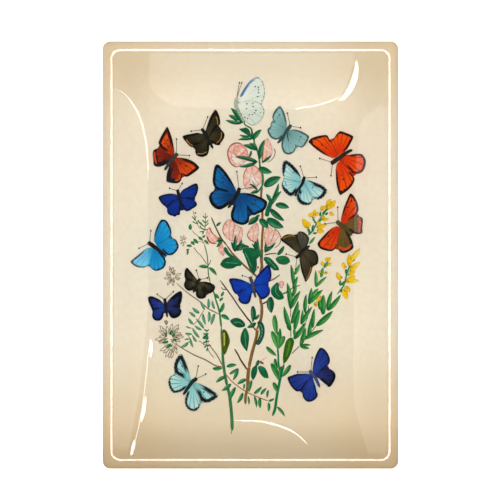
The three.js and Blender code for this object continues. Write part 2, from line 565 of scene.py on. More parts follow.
@dataclass(frozen=True)
class Loft:
    """A closed skin through rings, each an inset, a corner radius and a height."""

    rings: tuple[Ring, ...]
    seam_gap: float = 1e-7

    def build(self) -> bmesh.types.BMesh:
        """Maps a grid round the rings, closes its seam and fills both ends.

        Returns:
            The closed skin, in metres, with its faces outwards.
        """
        skin = bmesh.new()
        around, count = TRAY.round_steps, len(self.rings)
        bmesh.ops.create_grid(skin, x_segments=around, y_segments=count - 1, size=1.0)
        for vert in skin.verts:
            step = round((vert.co.x + 1) / 2 * around)
            row = round((vert.co.y + 1) / 2 * (count - 1))
            inset, radius, height = self.rings[row]
            x, y = TRAY.ring_point(step, inset, radius)
            vert.co = Vector((x, y, height)) * MM
        bmesh.ops.remove_doubles(skin, verts=skin.verts, dist=self.seam_gap)
        open_edges = [edge for edge in skin.edges if edge.is_boundary]
        bmesh.ops.holes_fill(skin, edges=open_edges, sides=0)
        bmesh.ops.recalc_face_normals(skin, faces=skin.faces)
        return skin


def spread(start: float, end: float, count: int) -> np.ndarray:
    """Evenly spaced values, both ends included."""
    return np.linspace(start, end, count + 1)


def well_ring(inward: float, height: float) -> Ring:
    """Ring inside the rim, at a distance from the rim's inner edge."""
    return (TRAY.rim_width + float(inward), float(TRAY.corner_radius(inward)), float(height))


def underside_rings(floor: float, wall_rows: int = 44, blend_rows: int = 10) -> list[Ring]:
    """Rings of a surface that follows the glass's underside.

    Args:
        floor: height of its flat floor.
        wall_rows: rows on the long wall.
        blend_rows: rows where the wall turns into the rim.
    Returns:
        Rings from the floor out to the rim.
    """
    wall = spread(TRAY.wall_end, TRAY.underside_end, wall_rows)
    blend = spread(TRAY.underside_end, TRAY.underside_start, blend_rows)[1:]
    return [well_ring(s, floor + TRAY.depth - TRAY.underside_depth(s)) for s in (*wall, *blend)]


def finish_piece(
    skin: bmesh.types.BMesh, name: str, material: bpy.types.Material, node: str,
    smooth: float = 35.0,
) -> bpy.types.Object:
    """Turns a mesh into a piece of the tray.

    Args:
        skin: the finished mesh, in metres; it is freed.
        name: the piece's name.
        material: its material.
        node: the CAD node that it stands for.
        smooth: edges sharper than this many degrees stay sharp.
    Returns:
        The new object.
    """
    for face in skin.faces:
        face.smooth = True
    for edge in skin.edges:
        edge.smooth = edge.is_boundary or edge.calc_face_angle(0.0) < math.radians(smooth)
    mesh = bpy.data.meshes.new(name)
    skin.to_mesh(mesh)
    skin.free()
    piece = bpy.data.objects.new(name, mesh)
    mesh.materials.append(material)
    bpy.context.scene.collection.objects.link(piece)
    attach(piece, "root")
    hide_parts(node)
    LOG.info("%s: %d faces", name, len(mesh.polygons))
    return piece


@dataclass
class GlassTray:
    """The slumped glass: polished edge, flat rim, short step and soft rounded well."""

    thickness: float = 4.3
    bond: float = 3.44
    edge_radius: float = 0.7
    edge_rows: int = 8
    step_rows: int = 9
    wall_rows: int = 48
    smooth: float = 60.0
    finish: ClearGlass = field(default_factory=ClearGlass)

    def build(self) -> bpy.types.Object:
        """Builds the glass down to where it is bonded to the print.

        Returns:
            The glass piece.
        """
        top = TRAY.glass_top_floor + TRAY.depth
        under, r = self.bond + TRAY.depth, self.edge_radius
        turns = spread(0, math.pi / 2, self.edge_rows)
        lower = [(r - r * math.sin(a), TRAY.outer_corner, under + r - r * math.cos(a)) for a in turns]
        upper = [(r - r * math.cos(a), TRAY.outer_corner, top - r + r * math.sin(a)) for a in turns]
        step = spread(0, TRAY.step_width, self.step_rows)
        wall = spread(TRAY.step_width, TRAY.wall_end, self.wall_rows)[1:]
        well = [well_ring(s, top - float(TRAY.well_depth(s))) for s in (*step, *wall)]
        skin = Loft((*underside_rings(self.bond), *lower, *upper, *well)).build()
        finish = self.finish.material()
        return finish_piece(skin, "glass_tray_skin", finish, "glass_tray", self.smooth)


@dataclass
class PaperSheet:
    """A sheet that lies under the glass and follows its underside."""

    name: str
    floor: float
    thickness: float
    inset: float
    material: bpy.types.Material
    slot: str
    node: str

    def build(self) -> bpy.types.Object:
        """Builds the sheet as one closed skin.

        Returns:
            The sheet piece.
        """
        low = underside_rings(self.floor)
        high = underside_rings(self.floor + self.thickness)
        rim = self.floor + TRAY.depth
        edge = [(self.inset, TRAY.outer_corner, rim), (self.inset, TRAY.outer_corner, rim + self.thickness)]
        skin = Loft((*low, *edge, *reversed(high))).build()
        return finish_piece(skin, self.name, self.material, self.node)


@dataclass
class Bumper:
    """Clear domed stick-on foot."""

    node: str
    face_radius: float = 2.9
    skirt: float = 0.6
    height: float = 2.0
    overlap: float = 0.28
    segments: int = 48
    dome_rows: int = 10
    edge_radius: float = 0.25
    seam_gap: float = 1e-4

    def build(self, material: bpy.types.Material) -> bpy.types.Object:
        """Spins the foot's profile about its axis.

        Args:
            material: the clear plastic.
        Returns:
            The bumper piece.
        """
        low, high = (Vector(corner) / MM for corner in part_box(self.node))
        centre, radius = (low + high) / 2, (high.x - low.x) / 2
        dome, bulge = self.height - self.skirt, radius - self.face_radius
        turns = spread(0, math.pi / 2, self.dome_rows)
        profile = [(0.0, 0.0)]
        profile += [(self.face_radius + bulge * math.sin(a), dome * (1 - math.cos(a))) for a in turns]
        profile += [(radius, self.height), (radius - self.edge_radius, self.height + self.overlap)]
        profile += [(0.0, self.height + self.overlap)]
        skin = bmesh.new()
        verts = [skin.verts.new((centre.x + r, centre.y, z)) for r, z in profile]
        edges = [skin.edges.new(pair) for pair in zip(verts, verts[1:])]
        bmesh.ops.spin(
            skin, geom=[*verts, *edges], cent=(centre.x, centre.y, 0), axis=(0, 0, 1),
            angle=math.tau, steps=self.segments, use_merge=True,
        )
        bmesh.ops.remove_doubles(skin, verts=skin.verts, dist=self.seam_gap)
        bmesh.ops.recalc_face_normals(skin, faces=skin.faces)
        bmesh.ops.scale(skin, vec=(MM, MM, MM), verts=skin.verts)
        return finish_piece(skin, f"{self.node}_dome", material, self.node)


def smooth_path(points: Sequence[Point], closed: bool = False, per_span: int = 5) -> np.ndarray:
    """Runs a smooth curve through points. A point given twice is a corner.

    Args:
        points: the points, in order.
        closed: whether the curve comes back to its start.
        per_span: samples between two points.
    Returns:
        The samples, the last at the curve's end.
    """
    given = np.array(points, float)
    if closed:
        ring = np.vstack([given[-1], given, given[0], given[1]])
    else:
        ring = np.vstack([2 * given[0] - given[1], given, 2 * given[-1] - given[-2]])
    t = np.linspace(0, 1, per_span, endpoint=False)[:, None]
    spans = [
        0.5 * (2 * b + (c - a) * t + (2 * a - 5 * b + 4 * c - d) * t**2 + (3 * b - a - 3 * c + d) * t**3)
        for a, b, c, d in zip(ring, ring[1:], ring[2:], ring[3:])
        if not np.allclose(b, c)
    ]
    return np.vstack([*spans, ring[-2:-1]])


def lengths_along(path: np.ndarray) -> np.ndarray:
    """Distance from the start of a path to each of its points."""
    return np.concatenate([[0.0], np.cumsum(np.hypot(*np.diff(path, axis=0).T))])


def resampled(path: np.ndarray, count: int) -> np.ndarray:
    """Points spaced evenly along a path, `count` steps apart in all."""
    run = lengths_along(path)
    at = np.linspace(0, run[-1], count + 1)
    return np.column_stack([np.interp(at, run, path[:, 0]), np.interp(at, run, path[:, 1])])


def normals_along(path: np.ndarray) -> np.ndarray:
    """Unit vectors to the left of a path's direction, one at each point."""
    run = np.gradient(path, axis=0)
    run /= np.maximum(np.hypot(run[:, 0], run[:, 1]), 1e-9)[:, None]
    return np.column_stack([-run[:, 1], run[:, 0]])


class Sheet2D:
    """Flat shapes drawn in millimetres, each with its place along, across and from its edge."""

    fan_start = 0.012
    patch_rows = 4
    strip_columns = 4
    tip_width = 0.45
    tip_growth = 8
    blade_rows = 10
    dot_corners = 12

    def __init__(self, level: float = 0.0, rise: float = 0.003) -> None:
        """Starts empty.

        Args:
            level: height of the first shape.
            rise: how much higher each later shape lies.
        """
        self.mesh = bmesh.new()
        layers = self.mesh.verts.layers
        self.along, self.across, self.edge = (layers.float.new(k) for k in ("along", "across", "edge"))
        self.tint = layers.float_color.new("tint")
        self.level, self.rise = level, rise

    def grid(
        self, places: np.ndarray, edges: np.ndarray, across: np.ndarray, tint: Colour, material: int,
    ) -> None:
        """Maps a grid onto places.

        Args:
            places: x and y for each row and column.
            edges: distance to the shape's edge, for each row and column.
            across: the shape's second coordinate, for each row and column.
            tint: the ink's own colour.
            material: number of the material.
        """
        rows, columns = places.shape[0] - 1, places.shape[1] - 1
        made = bmesh.ops.create_grid(self.mesh, x_segments=columns, y_segments=rows, size=1.0)["verts"]
        for vert in made:
            column, row = round((vert.co.x + 1) / 2 * columns), round((vert.co.y + 1) / 2 * rows)
            vert.co = (*places[row, column], self.level)
            vert[self.along] = row / rows
            vert[self.across] = across[row, column]
            vert[self.edge] = edges[row, column]
            vert[self.tint] = (*tint, 1.0)
        for face in {face for vert in made for face in vert.link_faces}:
            face.material_index = material
        self.level += self.rise

    def fan(self, root: Point, outline: np.ndarray, tint: Colour, material: int, rows: int = 7) -> None:
        """Fills the shape between a root and an outline, such as a wing.

        Args:
            root: where the shape's lines meet.
            outline: the outline's samples.
            tint: the ink's own colour.
            material: number of the material.
            rows: rows from the root to the outline.
        """
        start = np.array(root, float)
        shares = np.linspace(self.fan_start, 1.0, rows + 1)[:, None, None]
        places = start + (outline - start)[None] * shares
        edges = np.min(np.hypot(*np.moveaxis(places[:, :, None] - outline[None, None], 3, 0)), axis=2)
        run = lengths_along(outline)
        across = np.tile(run / run[-1], (rows + 1, 1))
        self.grid(places, edges, across, tint, material)

    def patch(self, points: Sequence[Point], tint: Colour, material: int) -> None:
        """Fills a closed smooth outline from its middle."""
        outline = smooth_path(points, closed=True)
        self.fan(tuple(outline[:-1].mean(axis=0)), outline, tint, material, self.patch_rows)

    def strip(self, path: np.ndarray, halves: np.ndarray, tint: Colour, material: int) -> None:
        """Fills a band along a path.

        Args:
            path: the band's middle.
            halves: half its width at each point.
            tint: the ink's own colour.
            material: number of the material.
        """
        side = np.linspace(-1, 1, self.strip_columns + 1)
        across = np.tile(side, (len(path), 1))
        places = path[:, None] + normals_along(path)[:, None] * (halves[:, None] * side)[:, :, None]
        edges = (1 - np.abs(across)) * halves[:, None]
        self.grid(places, edges, across, tint, material)

    def line(self, points: Sequence[Point], start: float, end: float, tint: Colour, material: int) -> None:
        """Draws a smooth line whose width runs from `start` to `end`, with rounded tips."""
        path = smooth_path(points)
        share = lengths_along(path) / max(lengths_along(path)[-1], 1e-9)
        tips = np.minimum(1.0, self.tip_width + self.tip_growth * np.minimum(share, 1 - share))
        self.strip(path, (start + (end - start) * share) / 2 * tips, tint, material)

    def blade(self, base: Point, tip: Point, width: float, tint: Colour, material: int, bend: float) -> None:
        """Draws a pointed leaf.

        Args:
            base: where it grows.
            tip: its point.
            width: its greatest width.
            tint: the ink's own colour.
            material: number of the material.
            bend: how far its middle bows to the left, as a share of its length.
        """
        t = np.linspace(0, 1, self.blade_rows + 1)
        first, last = np.array(base, float), np.array(tip, float)
        side = np.array([first[1] - last[1], last[0] - first[0]])
        path = first + (last - first) * t[:, None] + side * (4 * bend * t * (1 - t))[:, None]
        halves = width / 2 * np.sin(np.pi * (0.04 + 0.94 * t) ** 0.85) ** 0.75
        self.strip(path, halves, tint, material)

    def dot(self, centre: Point, size: float, tint: Colour, material: int, tall: float = 1.0) -> None:
        """Draws a round or oval spot, `size` across and `tall` times as high."""
        stretch = Matrix.Diagonal((size / 2, size / 2 * tall, 1, 1))
        made = bmesh.ops.create_circle(
            self.mesh, cap_ends=True, segments=self.dot_corners, radius=1.0,
            matrix=Matrix.Translation((*centre, self.level)) @ stretch,
        )["verts"]
        for vert in made:
            vert[self.tint] = (*tint, 1.0)
            vert[self.edge] = 1.0
        made[0].link_faces[0].material_index = material
        self.level += self.rise


@dataclass(frozen=True)
class PrintPlane:
    """Where the inks lie: just above the print, inside the glass."""

    top: float = 3.5
    scale: float = 1.006

    def settle(self, drawing: Sheet2D) -> None:
        """Lays a flat drawing on the print, faces up, and turns it to metres.

        Args:
            drawing: the drawing, which is changed.
        """
        mesh = drawing.mesh
        flat = np.array([vert.co for vert in mesh.verts])
        x, y = flat[:, 0] * self.scale, flat[:, 1] * self.scale
        z = self.top + TRAY.depth - TRAY.underside_depth(TRAY.inward_at(x, y)) + flat[:, 2]
        for vert, place in zip(mesh.verts, np.column_stack([x, y, z]) * MM):
            vert.co = place
        mesh.normal_update()
        bmesh.ops.reverse_faces(mesh, faces=[face for face in mesh.faces if face.normal.z < 0])


PLANE = PrintPlane()


@cache
def plant_material(ink: PlantInk) -> bpy.types.Material:
    """One of the plants' inks, made once for every piece that uses it."""
    return ink.material()


@cache
def wing_material(kind: str) -> bpy.types.Material:
    """The inks of one kind of wing, made once for every butterfly that has it."""
    return WING_INKS[kind].material(f"{kind}_wing_ink")


def print_piece(drawing: Sheet2D, name: str, materials: Iterable[bpy.types.Material]) -> bpy.types.Object:
    """Lays a finished drawing on the print as a piece of its own.

    Args:
        drawing: the drawing; it is freed.
        name: the piece's name.
        materials: its inks, in the order of their numbers.
    Returns:
        The new object.
    """
    PLANE.settle(drawing)
    inks = list(materials)
    piece = finish_piece(drawing.mesh, name, inks[0], "print_sheet", ALL_SMOOTH)
    for ink in inks[1:]:
        piece.data.materials.append(ink)
    return piece


INK_DARK = srgb(38, 30, 28)


@dataclass(frozen=True)
class Wing:
    """One wing: the point that it spreads from, its outline, and its ink."""

    root: Point
    outline: tuple[Point, ...]
    ink: str


@dataclass(frozen=True)
class Butterfly:
    """A printed butterfly: wings, body, feelers and marks."""

    name: str
    wings: tuple[Wing, ...]
    body: tuple[Point, ...]
    clubs: tuple[Point, ...] = ()
    body_width: float = 1.8
    body_tint: Colour = INK_DARK
    spots: tuple[Spot, ...] = ()
    spot_tint: Colour = INK_DARK
    bands: tuple[tuple[Point, ...], ...] = ()
    band_tint: Colour = srgb(205, 130, 40)
    band_width: float = 1.2
    club_size: float = 1.1
    feeler_width: float = 0.34
    taper: float = 0.7
    join_reach: float = 3.4
    least_join: float = 2.0

    def build(self, level: float) -> bpy.types.Object:
        """Draws the butterfly from its hind wings up to its body.

        Args:
            level: height of its lowest ink above the print.
        Returns:
            The finished piece.
        """
        drawing = Sheet2D(level)
        kinds = list(dict.fromkeys(wing.ink for wing in self.wings))
        body, stroke = len(kinds), len(kinds) + 1
        head = self.body[0]
        for club in self.clubs:
            drawing.line((head, club), self.feeler_width, self.feeler_width, INK_DARK, stroke)
            drawing.dot(club, self.club_size, INK_DARK, stroke, 1.3)
        for number, wing in enumerate(self.wings):
            for other in self.wings[number + 1:]:
                self._join(drawing, wing, other, stroke)
        for wing in self.wings:
            outline, tint = smooth_path(wing.outline), WING_INKS[wing.ink].root
            drawing.fan(wing.root, outline, tint, kinds.index(wing.ink))
        for band in self.bands:
            drawing.line(band, self.band_width, self.band_width * self.taper, self.band_tint, stroke)
        for x, y, size in self.spots:
            drawing.dot((x, y), size, self.spot_tint, stroke)
        chest, tail = self.body_width * 1.25, self.body_width * self.taper
        drawing.line(self.body, chest, tail, self.body_tint, body)
        drawing.dot(head, self.body_width * 1.2, self.body_tint, stroke)
        materials = [wing_material(kind) for kind in kinds]
        materials += [plant_material(PlantInk.BODY), plant_material(PlantInk.STROKE)]
        return print_piece(drawing, self.name, materials)

    def _join(self, drawing: Sheet2D, wing: Wing, other: Wing, material: int) -> None:
        """Fills the gap between two wings that overlap on the living insect.

        Args:
            drawing: the butterfly's drawing.
            wing: one wing.
            other: its neighbour.
            material: number of the plain ink.
        """
        root = (np.array(wing.root) + np.array(other.root)) / 2
        first, second = smooth_path(wing.outline), smooth_path(other.outline)
        gaps = np.hypot(*np.moveaxis(first[:, None] - second[None], 2, 0))
        middles = (first[:, None] + second[None]) / 2
        away = np.where(gaps < self.join_reach, np.hypot(*np.moveaxis(middles - root, 2, 0)), 0.0)
        row, column = np.unravel_index(np.argmax(away), away.shape)
        if away[row, column] < self.least_join:
            return
        path = root + (middles[row, column] - root) * np.linspace(0, 0.97, 6)[:, None]
        halves = np.linspace(math.dist(wing.root, other.root), gaps[row, column], 6) / 2 + 0.3
        inks = WING_INKS[wing.ink], WING_INKS[other.ink]
        tint = tuple(0.3 * (a + b) for a, b in zip(inks[0].root, inks[1].outer))
        drawing.strip(path, halves, tint, material)

NAVY = srgb(12, 12, 40)
BLACK = srgb(14, 14, 18)
WING_INKS = {
    "pale_green": WingInk(
        srgb(240, 240, 228), srgb(232, 238, 228), srgb(120, 130, 118), 0.0, 0.08, 0.25,
        root_shade=0.1, flecks=0.12,
    ),
    "umber": WingInk(srgb(72, 64, 38), srgb(46, 38, 24), srgb(16, 12, 8), 1.6, 0.5, 0.5),
    "copper": WingInk(srgb(166, 40, 8), srgb(255, 90, 14), srgb(46, 14, 8), 2.0, 0.22, 0.75, flecks=0.4),
    "copper_dark": WingInk(srgb(98, 24, 12), srgb(174, 46, 14), srgb(24, 22, 30), 3.2, 0.6, 0.6),
    "sea_grey": WingInk(
        srgb(118, 172, 174), srgb(160, 206, 208), srgb(66, 92, 92), 1.1, 0.25, 0.45, flecks=0.25,
    ),
    "flame": WingInk(
        srgb(240, 50, 0), srgb(255, 88, 0), srgb(60, 10, 6), 1.5, 0.1, 0.75, root_shade=0.3, flecks=0.25,
    ),
    "sky_pale": WingInk(
        srgb(138, 216, 228), srgb(208, 246, 244), srgb(18, 26, 36), 2.4, 0.16, 0.6,
        fringe=srgb(215, 228, 225), root_shade=0.3, flecks=0.2,
    ),
    "deep_blue": WingInk(srgb(14, 58, 166), srgb(8, 50, 150), NAVY, 1.0, 0.3, 0.6),
    "azure": WingInk(srgb(8, 66, 134), srgb(14, 118, 194), BLACK, 1.7, 0.25, 0.6),
    "azure_dark": WingInk(srgb(8, 44, 94), srgb(14, 110, 188), BLACK, 2.2, 0.5, 0.6),
    "ruby": WingInk(
        srgb(228, 44, 0), srgb(255, 80, 2), srgb(46, 12, 8), 1.3, 0.14, 0.7, root_shade=0.3, flecks=0.3,
    ),
    "sepia_brown": WingInk(srgb(130, 102, 44), srgb(114, 88, 38), srgb(40, 24, 14), 1.6, 0.4, 0.7),
    "bright_sky": WingInk(srgb(14, 146, 218), srgb(30, 172, 240), srgb(14, 26, 50), 1.1, 0.2, 0.6),
    "light_sky": WingInk(
        srgb(50, 172, 232), srgb(108, 214, 252), srgb(14, 30, 54), 1.0, 0.16, 0.5, flecks=0.3,
    ),
    "bark": WingInk(srgb(92, 78, 54), srgb(62, 56, 38), srgb(20, 14, 10), 1.0, 0.5, 0.5),
    "bark_blue": WingInk(srgb(78, 72, 54), srgb(92, 90, 78), srgb(24, 18, 14), 0.8, 0.5, 0.5),
    "soot": WingInk(srgb(88, 80, 52), srgb(44, 40, 28), srgb(12, 10, 8), 1.4, 0.35, 0.5),
    "royal": WingInk(srgb(2, 76, 208), srgb(8, 62, 190), srgb(14, 22, 78), 1.2, 0.25, 0.6),
    "indigo": WingInk(srgb(40, 72, 170), srgb(28, 50, 140), srgb(12, 14, 44), 1.5, 0.4, 0.7),
    "indigo_dark": WingInk(srgb(46, 62, 134), srgb(30, 38, 86), srgb(8, 8, 20), 2.2, 0.6, 0.6),
    "aqua": WingInk(
        srgb(148, 220, 226), srgb(196, 240, 238), srgb(22, 34, 40), 1.6, 0.16, 0.85,
        fringe=srgb(220, 232, 230), root_shade=0.35, flecks=0.2,
    ),
    "aqua_tip": WingInk(
        srgb(138, 212, 220), srgb(190, 236, 236), srgb(20, 30, 36), 2.5, 0.2, 0.85,
        fringe=srgb(214, 228, 226), root_shade=0.35, flecks=0.25,
    ),
    "violet": WingInk(srgb(46, 74, 178), srgb(30, 56, 150), srgb(12, 14, 42), 1.0, 0.35, 0.6),
    "violet_dark": WingInk(srgb(52, 62, 142), srgb(28, 36, 90), srgb(10, 12, 30), 1.8, 0.6, 0.6),
}

